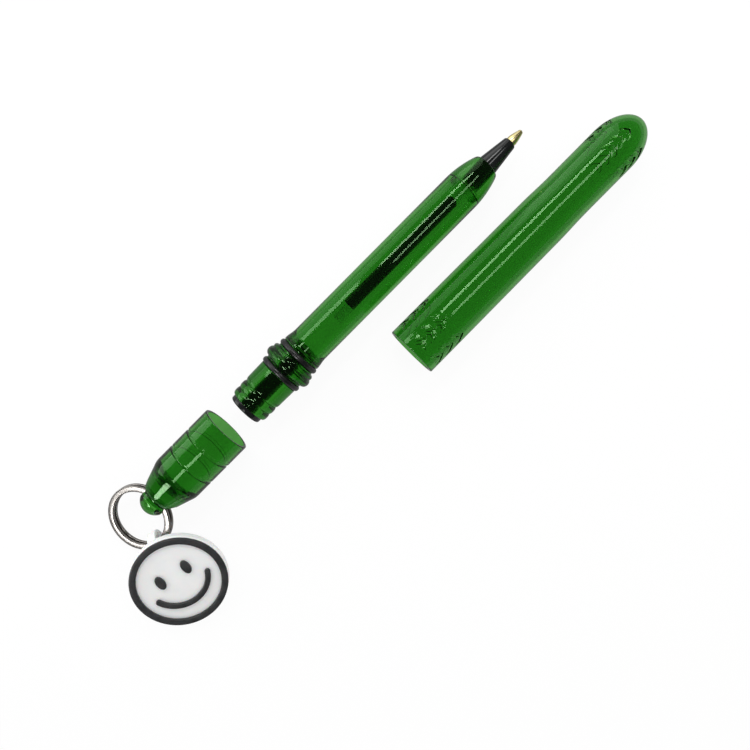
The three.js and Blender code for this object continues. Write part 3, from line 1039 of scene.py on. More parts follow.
@dataclass
class Refill(TurnedPart):
    """The refill: nose cone, brass point with its ball, ink tube and ink, from the tail face."""

    base: float = 77.55
    stem: Pair = (4.3, 5.7)
    base_diameter: float = 5.0
    front: float = 85.1
    front_diameter: float = 3.05
    socket_depth: float = 4.0
    shank: Pair = (1.6, 6.5)
    point_base: Pair = (2.37, 0.85)
    tip: float = 88.95
    lip_diameter: float = 1.0
    channel: float = 0.5
    socket_steps: int = 12
    ball: float = 0.9
    ball_steps: int = 24
    ball_gap: float = 0.06
    ball_showing: float = 0.2
    tube: float = 3.0
    tube_wall: float = 0.45
    tube_rear: float = 29.0
    ink: Pair = (33.3, 67.2)
    ink_hollow: float = 0.45
    ink_overlap: float = 0.01
    gap: float = 0.05

    def nose(self) -> Object:
        """Makes the black nose cone.

        Returns:
            The nose cone.
        """
        rear = self.base - self.stem[1]
        stem = self.stem[0] / 2
        wide = self.base_diameter / 2
        front = self.front_diameter / 2
        socket = self.tube / 2 + self.gap
        shank = self.shank[0] / 2 + self.gap
        line = Line().to(rear, socket, 0.1).to(rear, stem, 0.2).to(self.base, stem, 0.05)
        line.to(self.base, wide, 0.14).to(self.front, front, 0.26).to(self.front, shank, 0.05)
        line.to(rear + self.socket_depth, shank, 0.1).to(rear + self.socket_depth, socket, 0.1)
        return self.lathe("nose_cone_moulding", line, SMALL_SIDES)

    def point(self) -> Object:
        """Makes the turned brass point with its socket.

        Returns:
            The point.
        """
        start = self.front + self.gap
        base = self.point_base[0] / 2
        channel = self.channel / 2
        centre = self.tip - self.ball / 2
        lip = self.tip - self.ball_showing
        socket = self.ball / 2 + self.ball_gap
        back = math.pi - math.asin(channel / socket)
        front = math.acos((lip - centre) / socket)
        line = Line().to(start - self.shank[1], channel).to(start - self.shank[1], self.shank[0] / 2, 0.1)
        line.to(start, self.shank[0] / 2).to(start, base, 0.06)
        bulge = ((start + self.point_base[1] + lip) / 2, (base + self.lip_diameter / 2) / 2 + 0.1)
        line.bend((start + self.point_base[1], base), bulge, (lip - 0.05, self.lip_diameter / 2 + 0.02), 18)
        line.to(lip, self.lip_diameter / 2 - 0.03, 0.03)
        for i in range(self.socket_steps + 1):
            a = front + (back - front) * i / self.socket_steps
            line.to(centre + socket * math.cos(a), socket * math.sin(a))
        return self.lathe("brass_point_turned", line, SMALL_SIDES)

    def writing_ball(self) -> Object:
        """Makes the ball as a half circle that is turned about the axis.

        Returns:
            The ball.
        """
        radius = self.ball / 2
        centre = self.tip - radius
        angles = [math.pi * (1 - k / self.ball_steps) for k in range(self.ball_steps + 1)]
        half = [(centre + radius * math.cos(a), radius * math.sin(a)) for a in angles]
        return self.lathe("writing_ball_lapped", Line().through(half), BALL_SIDES, False)

    def ink_tube(self) -> Object:
        """Makes the clear tube.

        Returns:
            The tube.
        """
        outer, inner = self.tube / 2, self.tube / 2 - self.tube_wall
        front = self.base - self.stem[1] + self.socket_depth - self.gap
        line = Line().to(self.tube_rear, inner, 0.08).to(self.tube_rear, outer, 0.08)
        line.to(front, outer, 0.08).to(front, inner, 0.08)
        return self.lathe("ink_tube_extruded", line, SMALL_SIDES)

    def ink_fill(self) -> Object:
        """Makes the ink, which wets the tube's wall, with a hollow end at the rear.

        Returns:
            The ink.
        """
        radius = self.tube / 2 - self.tube_wall + self.ink_overlap
        rear, front = self.ink
        hollow = rear + self.ink_hollow
        line = Line().to(hollow, 0.0)
        line.bend((hollow, 0.05), (hollow - 0.05, radius - 0.1), (rear, radius), 10)
        line.to(front, radius, 0.5).to(front, 0.0)
        return self.lathe("ink_fill", line, LOW_SIDES, False)

    def build(self) -> list[Object]:
        """Builds and dresses the refill.

        Returns:
            The pieces.
        """
        return [
            dressed(self.nose(), BLACK_PLASTIC, Body.REFILL, "nose_cone"),
            dressed(self.point(), BRASS, Body.REFILL, "tip_body"),
            dressed(self.writing_ball(), LAPPED_STEEL, Body.BALL, "writing_ball"),
            dressed(self.ink_tube(), CLEAR_TUBE, Body.REFILL, "ink_tube"),
            dressed(self.ink_fill(), INK, Body.REFILL, "ink_column"),
        ]


@dataclass
class LongCap(TurnedPart):
    """The long cap with its moulded grip marks. Stations run from its mouth."""

    node = "long_cap"
    length: float = 73.6
    mouth: float = 12.55
    stations: tuple[Pair, ...] = ((20.0, 12.4), (41.0, 12.2))
    waist: Pair = (50.0, 11.75)
    dome_length: float = 9.3
    wall: float = 0.875
    dome_wall: float = 0.8
    mouth_rounding: float = 0.15
    rows: int = 6
    marks_per_row: int = 3
    mark_depth: float = 0.36
    mark_shallow: float = 0.25
    mark_stroke: float = 1.3
    mark_edge: float = 0.12
    row_turn: float = 5.5
    mouth_marks: Triple = (4.8, 3.1, 1.85)
    dome_marks: Triple = (62.8, 2.6, 1.5)
    fine_step: float = 0.13
    coarse_step: float = 1.0
    last_gap: float = 0.05
    fine_before: float = 0.3
    fine_after: float = 0.4
    dome_steps: int = 28
    inner_steps: int = 24
    lip: float = 0.06
    skin: float = 0.2
    sides: int = 264
    sharp: float = 24.0

    def radius(self, station: float) -> float:
        """Gives the outer radius at a station in front of the dome.

        Args:
            station: The distance from the mouth.

        Returns:
            The radius.
        """
        knots = [(0.0, self.mouth), *self.stations]
        for (x0, d0), (x1, d1) in zip(knots, knots[1:]):
            if station <= x1:
                return (d0 + (d1 - d0) * (station - x0) / (x1 - x0)) / 2
        start, end = self.stations[-1], self.waist
        t = min((station - start[0]) / (end[0] - start[0]), 1.0)
        return (start[1] + (end[1] - start[1]) * (0.5 - 0.5 * math.cos(math.pi * t))) / 2

    def side_stations(self) -> list[float]:
        """Gives the stations of the outside, close together where the marks are.

        Returns:
            The stations in order.
        """
        dome_start = self.length - self.dome_length
        zones = []
        for tip, pitch, arm in (self.mouth_marks, self.dome_marks):
            last = tip + pitch * (self.marks_per_row - 1)
            first = tip - arm - self.mark_stroke
            zones.append((first - self.fine_before, min(last + self.fine_after, dome_start)))
        stations = [self.mouth_rounding]
        while stations[-1] < dome_start - self.last_gap:
            here = stations[-1]
            fine = any(start <= here < end for start, end in zones)
            ahead = [start - here for start, _ in zones if start > here] + [dome_start - here]
            stations.append(here + min(self.fine_step if fine else self.coarse_step, *ahead))
        return stations

    def shell(self) -> Object:
        """Makes the cap's wall, and marks the points of its outside.

        Returns:
            The cap, still without its marks.
        """
        mouth = self.mouth / 2
        bore = mouth - self.wall
        dome_start = self.length - self.dome_length
        waist = self.waist[1] / 2
        last_tip = self.dome_marks[0] + self.dome_marks[1] * (self.marks_per_row - 1)
        fine_to = math.asin(min(1.0, (last_tip + self.fine_after - dome_start) / self.dome_length))
        line = Line().to(0.0, mouth - self.mouth_rounding, self.lip).to(self.mouth_rounding, mouth, self.lip)
        for station in self.side_stations()[1:-1]:
            line.to(station, self.radius(station))
        fine_count = math.ceil(fine_to * self.dome_length / self.fine_step)
        angles = [fine_to * k / fine_count for k in range(fine_count)]
        rest = math.pi / 2 - fine_to
        angles += [fine_to + rest * k / self.dome_steps for k in range(self.dome_steps + 1)]
        for angle in angles:
            line.to(dome_start + self.dome_length * math.sin(angle), waist * math.cos(angle))
        inner = Line().dome(dome_start, waist - self.wall, self.dome_length - self.dome_wall)
        line.through([(x, r) for x, r, _ in reversed(inner.corners)])
        for k in range(self.inner_steps):
            station = dome_start * (1 - (k + 1) / (self.inner_steps + 1))
            line.to(station, self.radius(station) - self.wall)
        line.to(self.mouth_rounding, bore, self.lip).to(0.0, bore + self.mouth_rounding, self.lip)
        cap = as_object("long_cap_moulding", turned(line, self.sides, True), Matrix.Identity(4))
        flag = cap.data.attributes.new("outside", "FLOAT", "POINT")
        for vertex, value in zip(cap.data.vertices, flag.data):
            x, y, z = vertex.co
            wide = math.hypot(y, z)
            on_side = x < dome_start and wide > self.radius(x) - self.skin
            dome_line = (max(x - dome_start, 0.0) / self.dome_length) ** 2 + (wide / waist) ** 2
            # On the dome's outside this sum is 1, and on its inside it is below 0.84.
            value.value = 1.0 if on_side or (x >= dome_start and dome_line > 0.97) else 0.0
        return cap

    def marks_tree(self) -> NodeTree:
        """Builds the nodes that press V-shaped marks into the outside.

        A point's distance round the cap from its nearest row, added to its station, tells how far
        it lies before a mark's tip, because both arms of the V run back at 45 degrees. A mark's
        floor is one slope: it is shallow where the arms end and deepest at the tip.

        Returns:
            The node tree.
        """
        groups = ("Mouth", "Dome")
        numbers = ["Rows", "Last Mark", "Turn", "Depth", "Shallow", "Stroke", "Edge"]
        numbers += [f"{g} {name}" for g in groups for name in ("Tip", "Pitch", "Arm")]
        tree, given = started_tree("grip_marks", {name: "Float" for name in numbers})
        position = add_node(tree, "GeometryNodeInputPosition").outputs[0]
        x, y, z = add_node(tree, "ShaderNodeSeparateXYZ", {}, {0: position}).outputs
        # Each row names a value and the sum that gives it, of earlier values, inputs and numbers.
        sums: list[tuple[Any, ...]] = [
            ("angle", "ARCTAN2", "y", "z"),
            ("ahead", "SUBTRACT", "angle", "Turn"),
            ("turns", "DIVIDE", "ahead", math.tau),
            ("rows", "MULTIPLY", "turns", "Rows"),
            ("whole", "ROUND", "rows"),
            ("part", "SUBTRACT", "rows", "whole"),
            ("away", "ABSOLUTE", "part"),
            ("arc", "MULTIPLY", "away", math.tau),
            ("swept", "DIVIDE", "arc", "Rows"),
            ("y part", "MULTIPLY", "y", "y"),
            ("square", "MULTIPLY_ADD", "z", "z", "y part"),
            ("radius", "SQRT", "square"),
            ("round way", "MULTIPLY", "swept", "radius"),
            ("reach", "ADD", "x", "round way"),
            ("half", "MULTIPLY", "Stroke", 0.5),
            ("inward", "MULTIPLY", "Edge", -1.0),
        ]
        for g in groups:
            sums += [
                (f"{g} before", "SUBTRACT", "reach", f"{g} Tip"),
                (f"{g} centred", "ADD", f"{g} before", "half"),
                (f"{g} count", "DIVIDE", f"{g} centred", f"{g} Pitch"),
                (f"{g} near", "ROUND", f"{g} count"),
                (f"{g} low", "MAXIMUM", f"{g} near", 0.0),
                (f"{g} mark", "MINIMUM", f"{g} low", "Last Mark"),
                (f"{g} middle", "MULTIPLY", f"{g} mark", f"{g} Pitch"),
                (f"{g} off", "SUBTRACT", f"{g} centred", f"{g} middle"),
                (f"{g} size", "ABSOLUTE", f"{g} off"),
                (f"{g} past", "SUBTRACT", f"{g} size", "half"),
                (f"{g} across", "MULTIPLY", f"{g} past", math.sqrt(0.5)),
                (f"{g} beyond", "SUBTRACT", "round way", f"{g} Arm"),
                (f"{g} outside", "MAXIMUM", f"{g} across", f"{g} beyond"),
                (f"{g} span", "ADD", f"{g} Arm", "Stroke"),
                (f"{g} tail", "SUBTRACT", f"{g} Tip", f"{g} span"),
                (f"{g} shifted", "SUBTRACT", "x", f"{g} middle"),
                (f"{g} run", "SUBTRACT", f"{g} shifted", f"{g} tail"),
            ]
        known: dict[Any, Any] = {**given, "x": x, "y": y, "z": z}
        for name, operation, *terms in sums:
            values = {i: known.get(term, term) for i, term in enumerate(terms)}
            known[name] = add_node(tree, MATH, {"operation": operation}, values).outputs[0]
        masks = []
        for g in groups:
            ends = {"Value": known[f"{g} outside"], "From Min": known["inward"], "From Max": 0.0}
            ends |= {"To Min": 1.0, "To Max": 0.0}
            mask = add_node(tree, "ShaderNodeMapRange", {"interpolation_type": "SMOOTHSTEP"}, ends).outputs[0]
            rise = {"Value": known[f"{g} run"], "From Max": known[f"{g} span"]}
            rise |= {"To Min": given["Shallow"], "To Max": 1.0}
            ramp = add_node(tree, "ShaderNodeMapRange", {}, rise).outputs[0]
            masks.append(add_node(tree, MATH, {"operation": "MULTIPLY"}, {0: mask, 1: ramp}).outputs[0])
        both = add_node(tree, MATH, {"operation": "MAXIMUM"}, {0: masks[0], 1: masks[1]}).outputs[0]
        flag = add_node(tree, "GeometryNodeInputNamedAttribute", {"data_type": "FLOAT"}, {"Name": "outside"})
        back = both
        for term in (flag.outputs[0], given["Depth"], -1.0):
            back = add_node(tree, MATH, {"operation": "MULTIPLY"}, {0: back, 1: term}).outputs[0]
        normal = add_node(tree, "GeometryNodeInputNormal").outputs[0]
        offset = add_node(tree, "ShaderNodeVectorMath", {"operation": "SCALE"}, {0: normal, "Scale": back})
        values = {"Geometry": given["Geometry"], "Offset": offset.outputs[0]}
        moved = add_node(tree, "GeometryNodeSetPosition", {}, values).outputs[0]
        return ended_tree(tree, moved, given["Material"])

    def marked(self, cap: Object) -> Object:
        """Presses the grip marks into the cap and puts it in its place.

        Args:
            cap: The cap, in millimetres about its own mouth.

        Returns:
            The finished cap.
        """
        values: dict[str, Any] = {
            "Rows": float(self.rows),
            "Last Mark": float(self.marks_per_row - 1),
            "Turn": math.radians(self.row_turn),
            "Depth": self.mark_depth,
            "Shallow": self.mark_shallow,
            "Stroke": self.mark_stroke,
            "Edge": self.mark_edge,
            "Material": CLEAR_GREEN.material(),
        }
        for group, sizes in (("Mouth", self.mouth_marks), ("Dome", self.dome_marks)):
            values.update({f"{group} {n}": v for n, v in zip(("Tip", "Pitch", "Arm"), sizes)})
        apply_tree(cap, self.marks_tree(), values)
        cap.data.transform(self.place())
        return cap

    def build(self) -> list[Object]:
        """Builds and dresses the long cap."""
        cap = self.marked(self.shell())
        return [dressed(cap, CLEAR_GREEN, Body.CAP, "long_cap", self.sharp)]


def apply_tree(piece: Object, tree: NodeTree, values: dict[str, Any]) -> Object:
    """Runs a geometry node tree on a piece and keeps its result as a plain mesh.

    Args:
        piece: The piece.
        tree: The tree.
        values: What the tree's inputs get, by their names.

    Returns:
        The piece.
    """
    nodes = piece.modifiers.new(tree.name, "NODES")
    nodes.node_group = tree
    for socket in tree.interface.items_tree:
        if socket.in_out == "INPUT" and socket.name in values:
            nodes[socket.identifier] = values[socket.name]
    return evaluated(piece)


@dataclass
class EndCap(TurnedPart):
    """The short end cap with its outer grooves and its drilled nub. Stations run from its mouth."""

    node = "end_cap"
    length: float = 26.1
    diameter: float = 12.2
    shoulder: float = 15.1
    taper: tuple[Pair, ...] = ((17.0, 11.4), (18.8, 10.2), (21.5, 8.4))
    grooves: Pair = (6.0, 11.1)
    groove_width: float = 0.8
    groove_depth: float = 0.22
    bore: float = 10.8
    mouth_rounding: float = 0.12
    lip: float = 0.06
    cavity_depth: float = 18.2
    cavity_bend: float = 14.6
    cavity_end: float = 7.4
    cavity_rounding: float = 0.8
    cavity_curve: tuple[Pair, Pair] = ((0.9, 0.3), (1.2, 0.2))
    shoulder_lean: float = 1.0
    taper_roundings: Pair = (1.2, 0.4)
    nub_lead: Pair = (0.4, 0.1)
    nub_rounding: float = 0.25
    hole: float = 3.8
    drill_past: Pair = (1.0, 0.5)
    drill_flare: Pair = (0.1, 0.35)
    drill_lean: Pair = (0.45, 1.0)

    def place(self) -> Matrix:
        """Puts the middle of the mouth at the origin of stations, which run backwards."""
        low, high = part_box(self.node)
        return put(high.x, (low.y + high.y) / 2, (low.z + high.z) / 2, 180.0)

    def shell(self) -> Object:
        """Makes the cap's wall and its solid nub, and drills the nub.

        Returns:
            The end cap.
        """
        body, bore, nub = self.diameter / 2, self.bore / 2, NUB_DIAMETER / 2
        first, second, last = ((at, diameter / 2) for at, diameter in self.taper)
        deep, narrow = self.cavity_depth, self.cavity_end / 2
        (back, out), (ahead, inwards) = self.cavity_curve
        line = Line().to(deep, 0.0).to(deep, narrow, self.cavity_rounding)
        bent = (self.cavity_bend + ahead, bore - inwards)
        line.bend((deep - back, narrow + out), bent, (self.cavity_bend, bore), 10)
        line.to(self.mouth_rounding, bore, self.lip).to(0.0, bore + self.mouth_rounding, self.lip)
        line.to(0.0, body - self.mouth_rounding, self.lip).to(self.mouth_rounding, body, self.lip)
        for centre in self.grooves:
            line.arch(centre, self.groove_width, body - self.groove_depth, body, 12)
        line.bend((self.shoulder, body), (self.shoulder + self.shoulder_lean, body), first, 12)
        line.to(*second, self.taper_roundings[0]).to(*last, self.taper_roundings[1])
        line.to(last[0] + self.nub_lead[0], nub + self.nub_lead[1], self.nub_rounding)
        line.dome(self.length - nub, nub, nub)
        cap = self.lathe("end_cap_moulding", line, ROUND_SIDES, False)
        return changed(cap, self.drill(), Change.CUT)

    def drill(self) -> Object:
        """Makes the drill, which flares a little where it leaves the nub.

        Returns:
            The solid that is cut out.
        """
        radius, half = self.hole / 2, NUB_DIAMETER / 2
        line = flared_drill(radius, half, self.drill_past, self.drill_flare, self.drill_lean, 8)
        across = Matrix.Translation((NUB_HOLE_AT, 0.0, 0.0)) @ Matrix.Rotation(math.pi / 2, 4, "Z")
        return as_object("drill", turned(line, LOW_SIDES, False), self.place() @ across)

    def build(self) -> list[Object]:
        """Builds and dresses the end cap."""
        return [dressed(self.shell(), CLEAR_GREEN, Body.END, "end_cap")]


@dataclass
class SplitRing:
    """The steel split ring, two turns of flat wire that lean from the nub down to the table."""

    outer: float = 15.785
    wire: Pair = (1.4, 0.75)
    turn_gap: float = 0.45
    step_at: float = 255.0
    step_half: float = 15.0
    end_gap: float = 3.0
    edge: float = 0.24
    edge_steps: int = 4
    steps: int = 288
    table_gap: float = 0.01
    sharp: float = 50.0

    def radius(self) -> float:
        """Gives the radius of the wire's middle."""
        return (self.outer - self.wire[0]) / 2

    def lean(self) -> float:
        """Works out how far the ring leans from the nub down to the table.

        Returns:
            The angle at which its far edge meets the table, in radians.
        """
        height = 2 * self.wire[1] + self.turn_gap
        far = self.reach() + self.outer / 2
        low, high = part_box("end_cap")
        axis = (low.z + high.z) / 2 / METRES
        return math.asin((axis - self.table_gap) / math.hypot(far, height / 2)) - math.atan(height / 2 / far)

    def reach(self) -> float:
        """Works out how far the ring hangs from the nub.

        Returns:
            The distance from the hole's middle to the ring's centre.
        """
        radius = self.radius()
        bow = radius - math.sqrt(radius**2 - (NUB_DIAMETER / 2) ** 2)
        return radius - bow / 2

    def place(self) -> Matrix:
        """Puts the ring's centre, its direction to the hole and its axis in the model.

        Returns:
            The matrix from millimetres in the ring's plane.
        """
        low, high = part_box("end_cap")
        lean = self.lean()
        turn = Matrix.Rotation(-lean, 4, "Y")
        hole = Vector((high.x - NUB_HOLE_AT * METRES, (low.y + high.y) / 2, (low.z + high.z) / 2))
        centre = hole - turn @ Vector((self.reach() * METRES, 0.0, 0.0))
        return Matrix.Translation(centre) @ turn @ Matrix.Scale(METRES, 4)

    def wire_tree(self) -> NodeTree:
        """Builds the nodes that sweep the wire's section along two turns with one step.

        Returns:
            The node tree.
        """
        numbers = ("Radius", "Width", "Height", "Lift", "Edge", "Start", "End", "Step From", "Step To")
        tree, given = started_tree("split_ring_wire", {"Steps": "Int", **{name: "Float" for name in numbers}})
        points = add_node(tree, "GeometryNodeMeshLine", {"mode": "OFFSET"}, {"Count": given["Steps"]})
        index = add_node(tree, "GeometryNodeInputIndex").outputs[0]
        last = add_node(tree, MATH, {"operation": "SUBTRACT"}, {0: given["Steps"], 1: 1.0}).outputs[0]
        share = add_node(tree, MATH, {"operation": "DIVIDE"}, {0: index, 1: last}).outputs[0]
        ends = {"Value": share, "To Min": given["Start"], "To Max": given["End"]}
        angle = add_node(tree, "ShaderNodeMapRange", {}, ends).outputs[0]
        spot = []
        for wave in ("COSINE", "SINE"):
            part = add_node(tree, MATH, {"operation": wave}, {0: angle}).outputs[0]
            sides = {0: part, 1: given["Radius"]}
            spot.append(add_node(tree, MATH, {"operation": "MULTIPLY"}, sides).outputs[0])
        span = {"Value": angle, "From Min": given["Step From"], "From Max": given["Step To"]}
        span |= {"To Min": -0.5, "To Max": 0.5}
        eased = add_node(tree, "ShaderNodeMapRange", {"interpolation_type": "SMOOTHSTEP"}, span).outputs[0]
        sides = {0: eased, 1: given["Lift"]}
        spot.append(add_node(tree, MATH, {"operation": "MULTIPLY"}, sides).outputs[0])
        joined = add_node(tree, "ShaderNodeCombineXYZ", {}, dict(enumerate(spot))).outputs[0]
        placed = {"Geometry": points.outputs[0], "Position": joined}
        bent = add_node(tree, "GeometryNodeSetPosition", {}, placed)
        path = add_node(tree, "GeometryNodeMeshToCurve", {}, {0: bent.outputs[0]})
        upright = add_node(tree, "GeometryNodeSetCurveNormal", {"mode": "Z_UP"}, {0: path.outputs[0]})
        sizes = {"Width": given["Width"], "Height": given["Height"]}
        kind = "GeometryNodeCurvePrimitiveQuadrilateral"
        section = add_node(tree, kind, {"mode": "RECTANGLE"}, sizes).outputs[0]
        corners = {"Curve": section, "Count": self.edge_steps, "Radius": given["Edge"], "Limit Radius": True}
        rounded = add_node(tree, "GeometryNodeFilletCurve", {"mode": "POLY"}, corners).outputs[0]
        curves = {"Curve": upright.outputs[0], "Profile Curve": rounded, "Fill Caps": True}
        swept = add_node(tree, "GeometryNodeCurveToMesh", {}, curves).outputs[0]
        return ended_tree(tree, swept, given["Material"])

    def wire_piece(self) -> Object:
        """Makes the ring's wire.

        Returns:
            The ring.
        """
        step, half, gap = (math.radians(v) for v in (self.step_at, self.step_half, self.end_gap))
        middle = step + math.tau
        values: dict[str, Any] = {
            "Steps": self.steps,
            "Radius": self.radius(),
            "Width": self.wire[0],
            "Height": self.wire[1],
            "Lift": self.wire[1] + self.turn_gap,
            "Edge": self.edge,
            "Start": step + half + gap,
            "End": step + 2 * math.tau - half - gap,
            "Step From": middle - half,
            "Step To": middle + half,
            "Material": NICKEL_STEEL.material(),
        }
        ring = as_object("split_ring_wire", bmesh.new(), Matrix.Identity(4))
        apply_tree(ring, self.wire_tree(), values)
        shape = bmesh.new()
        shape.from_mesh(ring.data)
        outward(shape).to_mesh(ring.data)
        shape.free()
        ring.data.transform(self.place())
        return ring

    def build(self) -> list[Object]:
        """Builds and dresses the split ring."""
        wire = self.wire_piece()
        return [dressed(wire, NICKEL_STEEL, Body.RING, "split_ring", self.sharp)]


@dataclass
class Charm:
    """The round vinyl charm with its raised figures. It leans from the split ring to the table."""

    ring: SplitRing
    diameter: float = 22.15
    thickness: float = 2.1
    edge: float = 0.35
    figure_height: float = 0.8
    figure_rounding: float = 0.25
    figure_gap: float = 0.02
    rim_width: float = 1.55
    rim_inset: float = 0.1
    rim_rounding: float = 0.325
    eye_spacing: float = 6.8
    eye_above: float = 2.2
    eye_size: Pair = (2.0, 3.5)
    smile_radius: float = 7.2
    smile_above: float = 1.4
    smile_half: float = 66.0
    smile_stroke: float = 1.3
    eyelet_angle: float = 103.0
    eyelet: float = 5.8
    eyelet_hole: float = 3.8
    bore_past: Pair = (0.5, 0.6)
    bore_flare: Pair = (0.0, 0.3)
    bore_lean: Pair = (0.2, 0.7)
    eyelet_width: float = 2.2
    eyelet_to_centre: float = 8.8
    eyelet_rounding: float = 0.3
    sunk_share: float = 0.35
    loop_steps: int = 72
    outline_steps: int = 48
    end_steps: int = 10
    heading: float = 257.9
    table_gap: float = 0.01

    def place(self) -> Matrix:
        """Puts the middle of the disc's underside in the model.

        Returns:
            The matrix from millimetres with X to the charm's right and Y up its face.
        """
        turn = math.radians(-self.eyelet_angle)
        on_ring = Vector((math.cos(turn), math.sin(turn), 0.0)) * self.ring.radius()
        eyelet = self.ring.place() @ on_ring
        drop = self.eyelet / 2
        far = self.eyelet_to_centre + self.diameter / 2
        height = eyelet.z / METRES - self.table_gap
        lean = math.asin(height / math.hypot(far, drop)) + math.atan(drop / far)
        heading = math.radians(self.heading)
        down = Vector(
            (math.cos(heading) * math.cos(lean), math.sin(heading) * math.cos(lean), -math.sin(lean))
        )
        right = Vector((-math.sin(heading), math.cos(heading), 0.0))
        up = -down
        normal = right.cross(up)
        origin = eyelet + (down * self.eyelet_to_centre + normal * drop) * METRES
        basis = Matrix((right, up, normal)).transposed().to_4x4()
        return Matrix.Translation(origin) @ basis @ Matrix.Scale(METRES, 4)

    def disc(self) -> Object:
        """Makes the white disc with its eyelet.

        Returns:
            The disc.
        """
        radius, drop = self.diameter / 2, self.eyelet / 2
        line = Line().to(0.0, 0.0).to(0.0, radius - 1.0).to(0.0, radius, self.edge)
        line.to(self.thickness, radius, self.edge).to(self.thickness, radius - 1.0).to(self.thickness, 0.0)
        disc = as_object("charm_disc", turned(line, DISC_SIDES, False), self.place() @ UPRIGHT)
        return changed(disc, self.lug(drop), Change.JOIN)

    def lug(self, drop: float) -> Object:
        """Makes the eyelet under the disc, a loop that is stretched so that it reaches into the disc.

        Args:
            drop: How far the eyelet's axis lies under the disc's underside.

        Returns:
            The loop as one solid.
        """
        outer, hole, half = self.eyelet / 2, self.eyelet_hole / 2, self.eyelet_width / 2
        reach = drop + self.thickness * self.sunk_share

        def loop(inset: float) -> list[Pair]:
            """Gives the loop's outline, whose half towards the disc is stretched.

            Args:
                inset: How far the outline lies inside the widest one.

            Returns:
                Its points.
            """
            made = []
            for k in range(self.loop_steps):
                angle = math.tau * k / self.loop_steps
                x, y = math.cos(angle) * (outer - inset), math.sin(angle) * (outer - inset)
                made.append((x, y if y < 0 else y + (reach - outer + inset) * (y / (outer - inset))))
            return made

        layers = rounded_layers(2 * half, self.eyelet_rounding, 4)
        body = stacked(loop, [(inset, z - half) for inset, z in layers])
        # The outline's X runs up the charm, its Y towards the disc, and its height across the charm.
        turn = Matrix(((0, 0, 1), (1, 0, 0), (0, 1, 0))).to_4x4()
        seat = self.place() @ Matrix.Translation((0.0, self.eyelet_to_centre, -drop)) @ turn
        lug = as_object("eyelet", body, seat)
        bore = flared_drill(hole, half, self.bore_past, self.bore_flare, self.bore_lean, 6)
        along = self.place() @ Matrix.Translation((0.0, self.eyelet_to_centre, -drop))
        tool = as_object("eyelet_bore", turned(bore, self.loop_steps, False), along)
        return changed(lug, tool, Change.CUT)

    def on_face(self) -> Matrix:
        """Puts a shape's underside just above the disc's face."""
        return self.place() @ Matrix.Translation((0.0, 0.0, self.thickness + self.figure_gap))

    def rim(self) -> Object:
        """Makes the raised rim.

        Returns:
            The rim.
        """
        outer = self.diameter / 2 - self.rim_inset
        inner = outer - self.rim_width
        line = Line()
        for x, r in ((0.0, inner), (0.0, outer), (self.figure_height, outer), (self.figure_height, inner)):
            line.to(x, r, self.rim_rounding)
        return as_object("charm_rim_band", turned(line, DISC_SIDES, True), self.on_face() @ UPRIGHT)

    def eye(self, name: str, side: int) -> Object:
        """Makes one oval eye.

        Args:
            name: The eye's name.
            side: -1 for the left one and 1 for the right one.

        Returns:
            The eye.
        """
        width, height = self.eye_size
        middle = side * self.eye_spacing / 2

        def oval(inset: float) -> list[Pair]:
            """Gives the oval's outline.

            Args:
                inset: How far the outline lies inside the widest one.

            Returns:
                Its points.
            """
            angles = [math.tau * k / self.outline_steps for k in range(self.outline_steps)]
            a, b = width / 2 - inset, height / 2 - inset
            return [(middle + a * math.cos(t), self.eye_above + b * math.sin(t)) for t in angles]

        shape = stacked(oval, rounded_layers(self.figure_height, self.figure_rounding))
        return as_object(name, shape, self.on_face())

    def smile(self) -> Object:
        """Makes the mouth, an arc of even width with round ends.

        Returns:
            The mouth.
        """
        half_angle = math.radians(self.smile_half)
        start, end = -math.pi / 2 - half_angle, -math.pi / 2 + half_angle

        def arc(inset: float) -> list[Pair]:
            """Gives the arc's outline, there and back, with a round end after each way.

            Args:
                inset: How far the outline lies inside the widest one.

            Returns:
                Its points.
            """
            half = self.smile_stroke / 2 - inset
            made: list[Pair] = []
            for radius, first, last in ((half, start, end), (-half, end, start)):
                for k in range(self.outline_steps + 1):
                    angle = first + (last - first) * k / self.outline_steps
                    r = self.smile_radius + radius
                    made.append((r * math.cos(angle), self.smile_above + r * math.sin(angle)))
                x = self.smile_radius * math.cos(last)
                y = self.smile_above + self.smile_radius * math.sin(last)
                for k in range(1, self.end_steps):
                    turn = last + math.pi * k / self.end_steps + (0.0 if radius > 0 else math.pi)
                    made.append((x + half * math.cos(turn), y + half * math.sin(turn)))
            return made

        shape = stacked(arc, rounded_layers(self.figure_height, self.figure_rounding))
        return as_object("charm_mouth", shape, self.on_face())

    def build(self) -> list[Object]:
        """Builds and dresses the charm.

        Returns:
            The pieces.
        """
        figures = (
            (self.rim(), "charm_rim"),
            (self.eye("charm_eye_left", -1), "charm_left_eye"),
            (self.eye("charm_eye_right", 1), "charm_right_eye"),
            (self.smile(), "charm_smile"),
        )
        made = [dressed(self.disc(), WHITE_VINYL, Body.CHARM, "charm_base")]
        for piece, node in figures:
            made.append(dressed(piece, DARK_VINYL, Body.CHARM, node))
        return made


